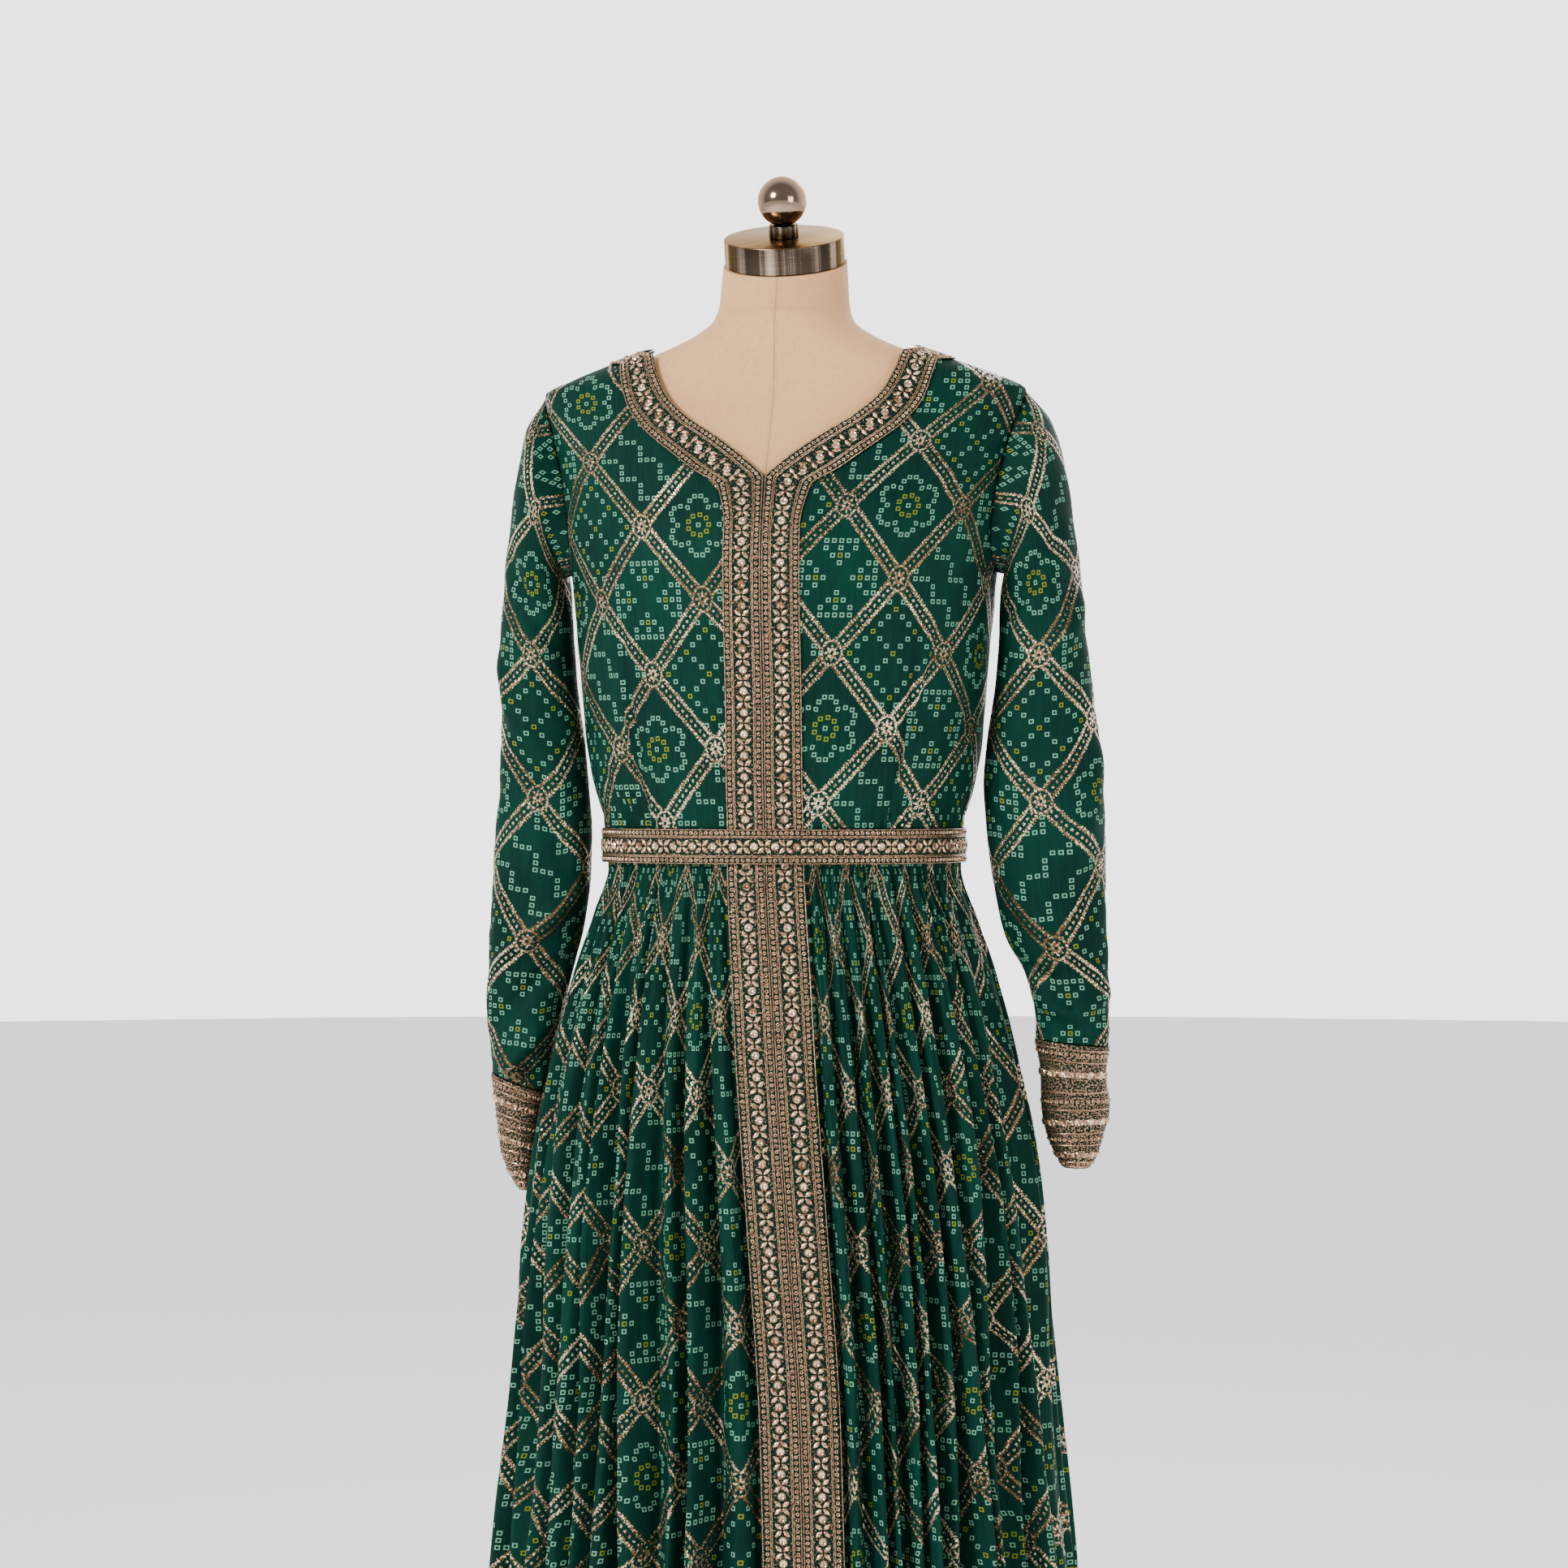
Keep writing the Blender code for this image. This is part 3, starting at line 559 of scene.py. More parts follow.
# Creases of a sleeve: distances round from the outer side, and along from the top
SLEEVE_CREASES = {
    Side.LEFT: (
        (((0.02, 0.07), (0.06, 0.1), (0.1, 0.12)), 0.003, 0.01),
        (((0.0, 0.12), (0.05, 0.16), (0.09, 0.17)), -0.003, 0.009),
        (((0.03, 0.19), (0.06, 0.26), (0.09, 0.33)), 0.0032, 0.011),
        (((0.0, 0.22), (0.03, 0.3), (0.05, 0.38)), -0.003, 0.01),
        (((0.02, 0.4), (0.06, 0.42), (0.11, 0.4)), 0.004, 0.008),
        (((0.0, 0.425), (0.05, 0.445), (0.11, 0.43)), -0.004, 0.007),
        (((0.02, 0.455), (0.07, 0.47), (0.12, 0.45)), 0.0036, 0.007),
        (((0.0, 0.48), (0.05, 0.49), (0.09, 0.475)), -0.0034, 0.006),
        (((0.19, 0.3), (0.15, 0.36), (0.12, 0.4)), -0.003, 0.01),
    ),
    Side.RIGHT: (
        (((0.02, 0.08), (0.05, 0.12), (0.09, 0.14)), 0.0028, 0.01),
        (((0.0, 0.15), (0.04, 0.21), (0.07, 0.27)), -0.0032, 0.009),
        (((0.04, 0.2), (0.06, 0.28), (0.08, 0.36)), 0.0034, 0.01),
        (((0.1, 0.33), (0.06, 0.37), (0.02, 0.42)), -0.0034, 0.009),
        (((0.11, 0.39), (0.07, 0.41), (0.02, 0.47)), 0.004, 0.009),
        (((0.11, 0.44), (0.07, 0.46), (0.03, 0.51)), -0.004, 0.008),
        (((0.1, 0.48), (0.06, 0.5), (0.02, 0.54)), 0.0034, 0.008),
        (((0.17, 0.2), (0.14, 0.28), (0.13, 0.36)), -0.0026, 0.01),
    ),
}


def add_creases(creases: Sequence[tuple], u: Array, v: Array) -> Array:
    """Sum of the pushes of several creases.

    Args:
        creases: rows of a table of creases.
        u: places across the cloth.
        v: places along the cloth.

    Returns:
        The push in metres.
    """
    total = np.zeros(u.shape)
    for row in creases:
        total = total + Crease(*row).push(u, v)
    return total


def add_wall(item: bpy.types.Object, wall: float) -> None:
    """Give a shell its thickness, inwards.

    Args:
        item: the shell.
        wall: its thickness.
    """
    thicken = item.modifiers.new("wall", "SOLIDIFY")
    thicken.thickness = wall
    thicken.offset = -1.0
    thicken.use_rim = True


def cloth_object(
    name: str,
    points: Array,
    uv: Array,
    material: Material,
    wall: float = CLOTH_WALL,
    wrap: bool = False,
) -> bpy.types.Object:
    """Make a cloth shell from a grid operator, shaped by rows of points.

    Args:
        name: name of the piece.
        points: rows and columns of outer points.
        uv: cloth coordinates of the points, in metres.
        material: finish of the piece.
        wall: thickness of the shell, or 0 for none yet.
        wrap: whether the last column is the first one again.

    Returns:
        The new object.
    """
    rows, columns = points.shape[:2]
    mesh = bmesh.new()
    bmesh.ops.create_grid(mesh, x_segments=columns - 1, y_segments=rows - 1, size=1.0)
    data = bpy.data.meshes.new(name)
    mesh.to_mesh(data)
    mesh.free()
    flat = np.empty(len(data.vertices) * 3)
    data.vertices.foreach_get("co", flat)
    flat = flat.reshape(-1, 3)
    column = np.rint((flat[:, 0] + 1.0) * 0.5 * (columns - 1)).astype(int)
    row = np.rint((flat[:, 1] + 1.0) * 0.5 * (rows - 1)).astype(int)
    data.vertices.foreach_set("co", points[row, column].ravel())
    corner = np.empty(len(data.loops), dtype=int)
    data.loops.foreach_get("vertex_index", corner)
    layer = data.uv_layers.new(name="cloth")
    layer.data.foreach_set("uv", uv[row, column][corner].ravel())
    data.update()
    if wrap:
        mesh = bmesh.new()
        mesh.from_mesh(data)
        bmesh.ops.remove_doubles(mesh, verts=mesh.verts, dist=1e-6)
        mesh.to_mesh(data)
        mesh.free()
    data.shade_smooth()
    data.materials.append(material)
    item = bpy.data.objects.new(name, data)
    bpy.context.collection.objects.link(item)
    if wall > 0.0:
        add_wall(item, wall)
    return item


def solid_object(
    name: str, mesh: bmesh.types.BMesh, material: Material, sharp: float = 40.0
) -> bpy.types.Object:
    """Turn a finished bmesh into an object that is shaded smooth between its sharp edges.

    Args:
        name: name of the object.
        mesh: the bmesh, which is freed.
        material: finish of the object.
        sharp: angle in degrees from which an edge stays sharp.

    Returns:
        The new object.
    """
    data = bpy.data.meshes.new(name)
    mesh.to_mesh(data)
    mesh.free()
    data.materials.append(material)
    data.shade_smooth()
    data.set_sharp_from_angle(angle=math.radians(sharp))
    item = bpy.data.objects.new(name, data)
    bpy.context.collection.objects.link(item)
    return item


def settle(item: bpy.types.Object, slot: Slot, *nodes: str) -> bpy.types.Object:
    """Tie a piece to the frame: what it rides on and what it stands for.

    Args:
        item: the piece.
        slot: its material slot; not used.
        nodes: the solids that it stands for.

    Returns:
        The same piece.
    """
    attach(item, "root")
    if nodes:
        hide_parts(*nodes)
    LOG.info("%s: %d faces", item.name, len(item.data.polygons))
    return item


class Value:
    """A number in a material's node tree, with plain arithmetic."""

    def __init__(self, graph: Graph, socket: bpy.types.NodeSocket) -> None:
        """Hold a socket of a graph."""
        self.graph = graph
        self.socket = socket

    def calc(self, operation: str, *others: Value | float) -> Value:
        """Apply a math node to this number and others."""
        return self.graph.calc(operation, self, *others)

    def __add__(self, other: Value | float) -> Value:
        """Sum."""
        return self.calc("ADD", other)

    def __sub__(self, other: Value | float) -> Value:
        """Difference."""
        return self.calc("SUBTRACT", other)

    def __mul__(self, other: Value | float) -> Value:
        """Product."""
        return self.calc("MULTIPLY", other)

    def __truediv__(self, other: Value | float) -> Value:
        """Quotient."""
        return self.calc("DIVIDE", other)

    def __abs__(self) -> Value:
        """Size without sign."""
        return self.calc("ABSOLUTE")

    def less(self, other: Value | float) -> Value:
        """1 where this number is less, otherwise 0."""
        return self.calc("LESS_THAN", other)

    def more(self, other: Value | float) -> Value:
        """1 where this number is more, otherwise 0."""
        return self.calc("GREATER_THAN", other)

    def near(self, other: float, slack: float) -> Value:
        """1 where this number lies within some slack of another."""
        return self.calc("COMPARE", other, slack)

    def either(self, other: Value | float) -> Value:
        """The larger of the two."""
        return self.calc("MAXIMUM", other)

    def both(self, other: Value | float) -> Value:
        """The smaller of the two."""
        return self.calc("MINIMUM", other)


class Graph:
    """A material with its node tree, built by short calls."""

    def __init__(self, name: str) -> None:
        """Start a material with one Principled shader.

        Args:
            name: name of the material.
        """
        self.material = bpy.data.materials.new(name)
        self.material.use_nodes = True
        self.nodes = self.material.node_tree.nodes
        self.links = self.material.node_tree.links
        self.shader = self.nodes["Principled BSDF"]

    def put(self, target: bpy.types.NodeSocket, value: Value | float) -> None:
        """Link a value to a socket, or set the socket to a number.

        Args:
            target: the socket.
            value: a value of this graph, or a number.
        """
        if isinstance(value, Value):
            self.links.new(value.socket, target)
        else:
            target.default_value = value

    def calc(self, operation: str, *values: Value | float) -> Value:
        """Add a math node.

        Args:
            operation: the node's operation.
            values: its inputs.

        Returns:
            The node's result.
        """
        node = self.nodes.new("ShaderNodeMath")
        node.operation = operation
        for index, value in enumerate(values):
            self.put(node.inputs[index], value)
        return Value(self, node.outputs[0])

    def cloth_place(self) -> tuple[Value, Value]:
        """Read the piece's own cloth coordinates.

        Returns:
            The places across and along the cloth, in metres.
        """
        node = self.nodes.new("ShaderNodeUVMap")
        node.uv_map = "cloth"
        split = self.nodes.new("ShaderNodeSeparateXYZ")
        self.links.new(node.outputs["UV"], split.inputs[0])
        return Value(self, split.outputs[0]), Value(self, split.outputs[1])

    def object_place(self) -> tuple[Value, Value, Value]:
        """Read the Object coordinates.

        Returns:
            x, y and z in metres.
        """
        node = self.nodes.new("ShaderNodeTexCoord")
        split = self.nodes.new("ShaderNodeSeparateXYZ")
        self.links.new(node.outputs["Object"], split.inputs[0])
        return tuple(Value(self, output) for output in split.outputs)

    def noise(
        self, x: Value | float, y: Value | float, z: Value | float = 0.0, detail: float = 2.0
    ) -> Value:
        """Add a noise.

        Args:
            x: first coordinate, already scaled.
            y: second coordinate.
            z: third coordinate.
            detail: number of finer octaves.

        Returns:
            The noise, between 0 and 1.
        """
        join = self.nodes.new("ShaderNodeCombineXYZ")
        for socket, value in zip(join.inputs, (x, y, z)):
            self.put(socket, value)
        node = self.nodes.new("ShaderNodeTexNoise")
        node.inputs["Scale"].default_value = 1.0
        node.inputs["Detail"].default_value = detail
        self.links.new(join.outputs[0], node.inputs["Vector"])
        return Value(self, node.outputs["Fac"])

    def ramp(self, value: Value, low: float, high: float) -> Value:
        """Spread a range of a value over 0 to 1, held at both ends.

        Args:
            value: the value.
            low: where the result is 0.
            high: where it is 1.

        Returns:
            The result.
        """
        node = self.nodes.new("ShaderNodeMapRange")
        self.put(node.inputs["Value"], value)
        node.inputs["From Min"].default_value = low
        node.inputs["From Max"].default_value = high
        return Value(self, node.outputs["Result"])

    def mix(
        self,
        share: Value | float,
        first: bpy.types.NodeSocket | Colour,
        second: bpy.types.NodeSocket | Colour,
    ) -> bpy.types.NodeSocket:
        """Mix two colours.

        Args:
            share: how much of the second colour.
            first: a colour or a socket that gives one.
            second: a colour or a socket that gives one.

        Returns:
            The socket with the mixed colour.
        """
        node = self.nodes.new("ShaderNodeMix")
        node.data_type = "RGBA"
        self.put(node.inputs[0], share)
        for socket, colour in ((node.inputs[6], first), (node.inputs[7], second)):
            if isinstance(colour, tuple):
                socket.default_value = (*colour, 1.0)
            else:
                self.links.new(colour, socket)
        return node.outputs[2]

    def finish(
        self,
        colour: bpy.types.NodeSocket | Colour,
        roughness: Value | float,
        metallic: Value | float = 0.0,
        height: Value | None = None,
        relief: float = 0.0005,
        sheen: float = 0.0,
    ) -> Material:
        """Connect the shader.

        Args:
            colour: base colour.
            roughness: roughness.
            metallic: metallic share.
            height: height of the relief, from 0 to 1.
            relief: metres that a height of 1 stands up.
            sheen: weight of the soft sheen.

        Returns:
            The finished material.
        """
        base = self.shader.inputs["Base Color"]
        if isinstance(colour, tuple):
            base.default_value = (*colour, 1.0)
        else:
            self.links.new(colour, base)
        self.put(self.shader.inputs["Roughness"], roughness)
        self.put(self.shader.inputs["Metallic"], metallic)
        if sheen > 0.0:
            self.shader.inputs["Sheen Weight"].default_value = sheen
            self.shader.inputs["Sheen Roughness"].default_value = 0.4
        if height is not None:
            bump = self.nodes.new("ShaderNodeBump")
            bump.inputs["Distance"].default_value = relief
            bump.inputs["Strength"].default_value = 1.0
            self.put(bump.inputs["Height"], height)
            self.links.new(bump.outputs[0], self.shader.inputs["Normal"])
        return self.material


@dataclass(frozen=True)
class PrintedGeorgette:
    """Green crinkled georgette with a zari lattice and tied-dot motifs between its lines, and painted
    glints on the zari.
    """

    cell_width: float = 0.098
    cell_height: float = 0.118
    line_gap: float = 0.0047
    line_half: float = 0.001
    line_step: float = 0.0007
    stitch: float = 0.0024
    spot_pitch: float = 0.005
    flower_radius: float = 0.005
    ring_radius: float = 0.0086
    clearing: float = 0.01
    dot: float = 0.0058
    square: float = 0.0014
    stroke: float = 0.00044
    flower_dots: int = 30
    heart_dots: int = 9
    motif_reach: float = 8.5
    green: Colour = (0.0002, 0.031, 0.02)
    deep: Colour = (0.0001, 0.013, 0.009)
    pale: Colour = (0.145, 0.35, 0.235)
    yellow: Colour = (0.19, 0.21, 0.01)
    gold: Colour = (0.135, 0.074, 0.032)
    # Bright tone of the painted glints on the zari, standing in for light caught by the metal thread
    painted_glint: Colour = (1.0, 0.8, 0.54)

    @property
    def cell(self) -> float:
        """Distance between neighbouring parallel lines of the lattice."""
        return 1.0 / math.hypot(1.0 / self.cell_width, 1.0 / self.cell_height)

    def lattice(self, graph: Graph, p: Value, q: Value, worn: Value) -> Value:
        """The double lines, the dots between them and the flowers at their crossings.

        Args:
            graph: the material's graph.
            p: one lattice coordinate, in cells.
            q: the other lattice coordinate, in cells.
            worn: uneven edge of the lines, in metres.

        Returns:
            1 where there is zari, otherwise 0.
        """
        from_p = abs(p.calc("FRACT") - 0.5) * -self.cell + self.cell * 0.5
        from_q = abs(q.calc("FRACT") - 0.5) * -self.cell + self.cell * 0.5
        nearest = from_p.both(from_q)
        first = from_p.less(from_q)
        along = q * first + p * (first * -1.0 + 1.0)
        step = (along * (self.cell / self.stitch)).calc("FRACT").more(0.5)
        half = step * self.line_step + self.line_half
        line = (abs(nearest - self.line_gap) + worn).less(half)
        beat = abs((along * (self.cell / self.spot_pitch)).calc("FRACT") - 0.5)
        spot = nearest.less(0.001) * beat.less(0.22)
        radius = (from_p * from_p + from_q * from_q).calc("SQRT")
        turn = graph.calc("ARCTAN2", from_p, from_q)
        petal = (turn * 8.0).calc("COSINE") * 0.0015 + self.flower_radius
        flower = (radius + worn).less(petal) * radius.more(0.0014)
        ring = (abs(radius - self.ring_radius) + worn).less(0.0011)
        clear = radius.more(self.clearing)
        return (line.either(spot) * clear).either(flower).either(ring)

    def dot_ring(
        self, graph: Graph, x: Value, y: Value, count: int, radius: float, lobe: float
    ) -> Value:
        """A closed ring of small square outlines round the middle of a cell.

        Args:
            graph: the material's graph.
            x: place across, in metres from the middle.
            y: place up, in metres from the middle.
            count: number of squares.
            radius: smallest radius of the ring.
            lobe: how far its six lobes stand out.

        Returns:
            1 on the outlines, otherwise 0.
        """
        turn = graph.calc("ARCTAN2", y, x)
        near = (turn * (count / (2.0 * math.pi))).calc("ROUND") * (2.0 * math.pi / count)
        reach = abs((near * 3.0).calc("SINE")) * lobe + radius
        off_x = abs(x - near.calc("COSINE") * reach)
        off_y = abs(y - near.calc("SINE") * reach)
        return abs(off_x.either(off_y) - self.square).less(self.stroke)

    def motifs(self, graph: Graph, p: Value, q: Value) -> tuple[Value, Value]:
        """The tied dots of the four motifs.

        Args:
            graph: the material's graph.
            p: one lattice coordinate, in cells.
            q: the other lattice coordinate, in cells.

        Returns:
            The pale rings and the yellow rings, each 1 or 0.
        """
        inner_p = p.calc("FRACT") - 0.5
        inner_q = q.calc("FRACT") - 0.5
        across = (inner_p + inner_q) * (self.cell_width * 0.5)
        upward = (inner_p - inner_q) * (self.cell_height * 0.5)
        x = across / self.dot
        y = upward / self.dot
        i = x.calc("ROUND")
        j = y.calc("ROUND")
        ring = abs(abs(x - i).either(abs(y - j)) * self.dot - self.square).less(self.stroke)
        size_i = abs(i)
        size_j = abs(j)
        ring = ring * (size_i * 1.2 + size_j).less(self.motif_reach)
        kind = (p.calc("FLOOR") + q.calc("FLOOR") * 2.0).calc("FLOORED_MODULO", 4.0)

        flower = self.dot_ring(graph, across, upward, self.flower_dots, 0.0172, 0.0078)
        flower = flower.either(ring * (size_i + size_j).less(0.5))
        flower_heart = self.dot_ring(graph, across, upward, self.heart_dots, 0.0086, 0.0)

        third_i = (i / 3.0).calc("ROUND")
        third_j = (j / 3.0).calc("ROUND")
        off_i = abs(i - third_i * 3.0)
        off_j = abs(j - third_j * 3.0)
        even = (third_i + third_j).calc("FLOORED_MODULO", 2.0).less(0.5)
        cluster = (off_i * off_j).more(0.5) * even
        cluster_heart = (off_i + off_j).less(0.5) * even

        step = (i / 3.0).calc("FLOOR") + (j / 3.0).calc("FLOOR")
        tread = i.calc("FLOORED_MODULO", 3.0).less(0.5)
        riser = j.calc("FLOORED_MODULO", 3.0).less(0.5)
        stairs = tread.either(riser) * step.calc("FLOORED_MODULO", 2.0).less(0.5)

        long = size_i.either(size_j)
        short = size_i.both(size_j)
        fan = abs(long - short - 2.0).less(0.5) * long.less(5.5)
        fan = fan.either(long.near(5.0, 0.3) * short.less(2.5))
        fan = fan.either(long.near(4.0, 0.3) * short.less(0.5))
        fan_heart = long.near(3.0, 0.3) * short.less(0.5)

        first, second, third, fourth = (kind.near(float(index), 0.3) for index in range(4))
        pale = first * flower + second * cluster * ring + third * stairs * ring + fourth * fan * ring
        yellow = first * flower_heart + second * cluster_heart * ring + fourth * fan_heart * ring
        return pale, yellow

    def build(self) -> Material:
        """Build the material.

        Returns:
            The finished material.
        """
        graph = Graph("printed_georgette")
        u, v = graph.cloth_place()
        worn = (graph.noise(u * 800.0, v * 800.0, detail=1.0) - 0.46) * 0.004
        p = u / self.cell_width + v / self.cell_height
        q = u / self.cell_width - v / self.cell_height
        zari = self.lattice(graph, p, q, worn)
        pale, yellow = self.motifs(graph, p, q)
        clear = zari * -1.0 + 1.0
        pale = pale * clear
        yellow = yellow * clear
        cloud = graph.noise(u * 14.0, v * 9.0, detail=3.0)
        streak = graph.noise(u * 420.0, v * 34.0, detail=2.0)
        thread = graph.noise(u * 2200.0, v * 2200.0, detail=1.0)
        tone = graph.ramp(cloud * 0.5 + streak * 0.3 + thread * 0.2, 0.36, 0.62)
        # Painted highlight: fine bright spots on the zari, gathered in broad patches, stand for glints
        # of light off the metal thread
        painted_glint_patches = graph.noise(u * 15.0, v * 15.0, 9.0, detail=1.0)
        glint_noise = graph.noise(u * 560.0, v * 560.0, 3.0, detail=2.0)
        painted_sparkle = graph.ramp(glint_noise + painted_glint_patches * 0.4, 0.68, 0.82)
        colour = graph.mix(tone, self.deep, self.green)
        colour = graph.mix(pale * 0.85, colour, self.pale)
        colour = graph.mix(yellow * 0.85, colour, self.yellow)
        metal = graph.mix(painted_sparkle, self.gold, self.painted_glint)
        colour = graph.mix(zari, colour, metal)
        height = zari * 0.3 + streak * 0.5 + thread * 0.3 + painted_sparkle * zari * 0.9
        rough = zari * -0.36 + 0.66
        graph.shader.inputs["Specular IOR Level"].default_value = 0.06
        return graph.finish(colour, rough, zari * 0.85, height, 0.0005)


@dataclass(frozen=True)
class TrimGround:
    """Green ground of the embroidered trims, closely worked with rose-gold thread that carries painted
    glints.
    """

    green: Colour = (0.0004, 0.012, 0.0075)
    gold: Colour = (0.15, 0.078, 0.04)
    # Bright tone of the painted glints on the thread
    painted_glint: Colour = (0.65, 0.43, 0.26)

    def build(self, name: str, worked: float) -> Material:
        """Build the material.

        Args:
            name: name of the material.
            worked: share of the ground that thread covers, from 0 to 1.

        Returns:
            The finished material.
        """
        graph = Graph(name)
        u, v = graph.cloth_place()
        grain = graph.noise(u * 1500.0, v * 1500.0, detail=2.0)
        patch = graph.noise(u * 620.0, v * 620.0, 7.0, detail=1.0)
        thread = graph.ramp(patch, 0.62 - worked * 0.4, 0.68 - worked * 0.4)
        # Painted highlight: random bright spots on the thread stand for glints of light off the metal
        painted_sparkle = graph.ramp(grain, 0.42, 0.68)
        metal = graph.mix(painted_sparkle, self.gold, self.painted_glint)
        colour = graph.mix(thread, self.green, metal)
        height = thread * 0.5 + grain * 0.5
        graph.shader.inputs["Specular IOR Level"].default_value = 0.08
        return graph.finish(colour, thread * -0.3 + 0.65, thread * 0.8, height, 0.0004)


@dataclass(frozen=True)
class ZariMetal:
    """Rose-gold sequins, beads and metal thread, with small random changes from one to the next, whose
    bright end is a painted glint.
    """

    # The metal's own tone, and the painted glint that it brightens to at random
    dull: Colour = (0.19, 0.102, 0.056)
    painted_glint_tone: Colour = (0.9, 0.57, 0.36)

    def build(self, name: str, fine: float, roughness: float) -> Material:
        """Build the material.

        Args:
            name: name of the material.
            fine: how many times a metre its tone and painted glints change.
            roughness: middle roughness.

        Returns:
            The finished material.
        """
        graph = Graph(name)
        x, y, z = graph.object_place()
        change = graph.noise(x * fine, y * fine, z * fine, detail=2.0)
        # Tone changes at random from piece to piece; its bright end is a painted glint
        tone = graph.ramp(change, 0.36, 0.64)
        colour = graph.mix(tone, self.dull, self.painted_glint_tone)
        rough = tone * -0.18 + (roughness + 0.09)
        return graph.finish(colour, rough, 0.85, change, 0.0003)


@dataclass(frozen=True)
class Linen:
    """Tightly stretched beige linen with a fine weave and a stitched seam down the front."""

    light: Colour = (0.77, 0.43, 0.19)
    shade: Colour = (0.57, 0.305, 0.128)
    seam: Colour = (0.27, 0.16, 0.085)

    def build(self) -> Material:
        """Build the material.

        Returns:
            The finished material.
        """
        graph = Graph("form_linen")
        x, y, z = graph.object_place()
        warp = (x * 4200.0 + z * 2600.0).calc("SINE")
        weft = (z * 4200.0 - x * 1500.0 + y * 2000.0).calc("SINE")
        weave = warp * weft * 0.5 + 0.5
        slub = graph.noise(x * 700.0, y * 700.0, z * 260.0, detail=3.0)
        soft = graph.noise(x * 9.0, y * 9.0, z * 9.0, detail=2.0)
        tone = graph.ramp(weave * 0.3 + slub * 0.45 + soft * 0.25, 0.3, 0.66)
        colour = graph.mix(tone, self.shade, self.light)
        off = abs(x)
        stitch = (z * 420.0).calc("FRACT").less(0.62)
        seam = off.less(0.00045).either(off.near(0.0017, 0.0002) * stitch)
        colour = graph.mix(seam * 0.7, colour, self.seam)
        height = weave * 0.4 + slub * 0.4 - off.less(0.0005) * 1.2
        return graph.finish(colour, 0.85, 0.0, height, 0.00025, sheen=0.03)


@dataclass(frozen=True)
class BrushedSteel:
    """Warm steel: brushed outwards on the cap, with soft light and dark rays of painted reflection and
    a warmer painted reflection on its top face, polished on the ball.
    """

    # The next four colours: the cap's painted reflection rays, mixed with its real brushing, on the
    # sides and then on the top face, which is warmer only as a painted reflection
    dark: Colour = (0.048, 0.034, 0.025)
    light: Colour = (0.46, 0.35, 0.26)
    top_reflection_dark: Colour = (0.15, 0.095, 0.052)
    top_reflection_light: Colour = (0.3, 0.2, 0.115)
    edge_tint: Colour = (0.7, 0.58, 0.45)
    ball_dark: Colour = (0.26, 0.175, 0.12)
    ball_light: Colour = (0.38, 0.27, 0.19)
    face_radius: float = 0.0125

    def build(self, name: str, polished: bool) -> Material:
        """Build the material.

        Args:
            name: name of the material.
            polished: whether it is the ball's finish.

        Returns:
            The finished material.
        """
        graph = Graph(name)
        graph.shader.inputs["Specular Tint"].default_value = (*self.edge_tint, 1.0)
        x, y, z = graph.object_place()
        if polished:
            smear = graph.noise(x * 40.0, y * 40.0, z * 40.0, detail=3.0)
            tone = graph.ramp(smear, 0.3, 0.7)
            colour = graph.mix(tone, self.ball_dark, self.ball_light)
            return graph.finish(colour, tone * 0.06 + 0.09, 1.0, smear, 0.00004)
        lean = math.sin(CAP_TILT)
        level = y * math.cos(CAP_TILT) + (z - CAP_TOP.z) * lean
        rise = z * math.cos(CAP_TILT) - y * lean
        radius = (x * x + level * level).calc("SQRT") + 0.0005
        # Painted reflection: broad light and dark rays round the axis stand in for the lamps mirrored
        # in the steel
        reflection_ray = graph.noise(x / radius * 4.2, level / radius * 4.2, 4.0, detail=2.0)
        hair = graph.noise(x / radius * 90.0, level / radius * 90.0, radius * 60.0, detail=1.0)
        brush = graph.noise(x * 60.0, y * 60.0, rise * 5200.0, detail=2.0)
        tone = graph.ramp(reflection_ray * 0.7 + hair * 0.18 + brush * 0.12, 0.49, 0.64)
        # Painted reflection: the top face takes a warmer tone than the sides, only because of how
        # light falls on it
        face = rise.more(CAP_TOP.z * math.cos(CAP_TILT) - 0.0006) * radius.more(self.face_radius)
        colour = graph.mix(tone, self.dark, self.light)
        top_reflection_tone = graph.mix(tone, self.top_reflection_dark, self.top_reflection_light)
        colour = graph.mix(face, colour, top_reflection_tone)
        graph.shader.inputs["Anisotropic"].default_value = 0.5
        return graph.finish(colour, tone * 0.1 + 0.24, 1.0, brush, 0.00005)


@dataclass(frozen=True)
class PaintedMetal:
    """Satin charcoal paint with a faint powder texture."""

    dark: Colour = (0.035, 0.035, 0.037)
    light: Colour = (0.06, 0.06, 0.063)

    def build(self) -> Material:
        """Build the material.

        Returns:
            The finished material.
        """
        graph = Graph("stand_paint")
        x, y, z = graph.object_place()
        grain = graph.noise(x * 900.0, y * 900.0, z * 900.0, detail=2.0)
        colour = graph.mix(grain, self.dark, self.light)
        return graph.finish(colour, grain * 0.12 + 0.4, 0.2, grain, 0.00008)


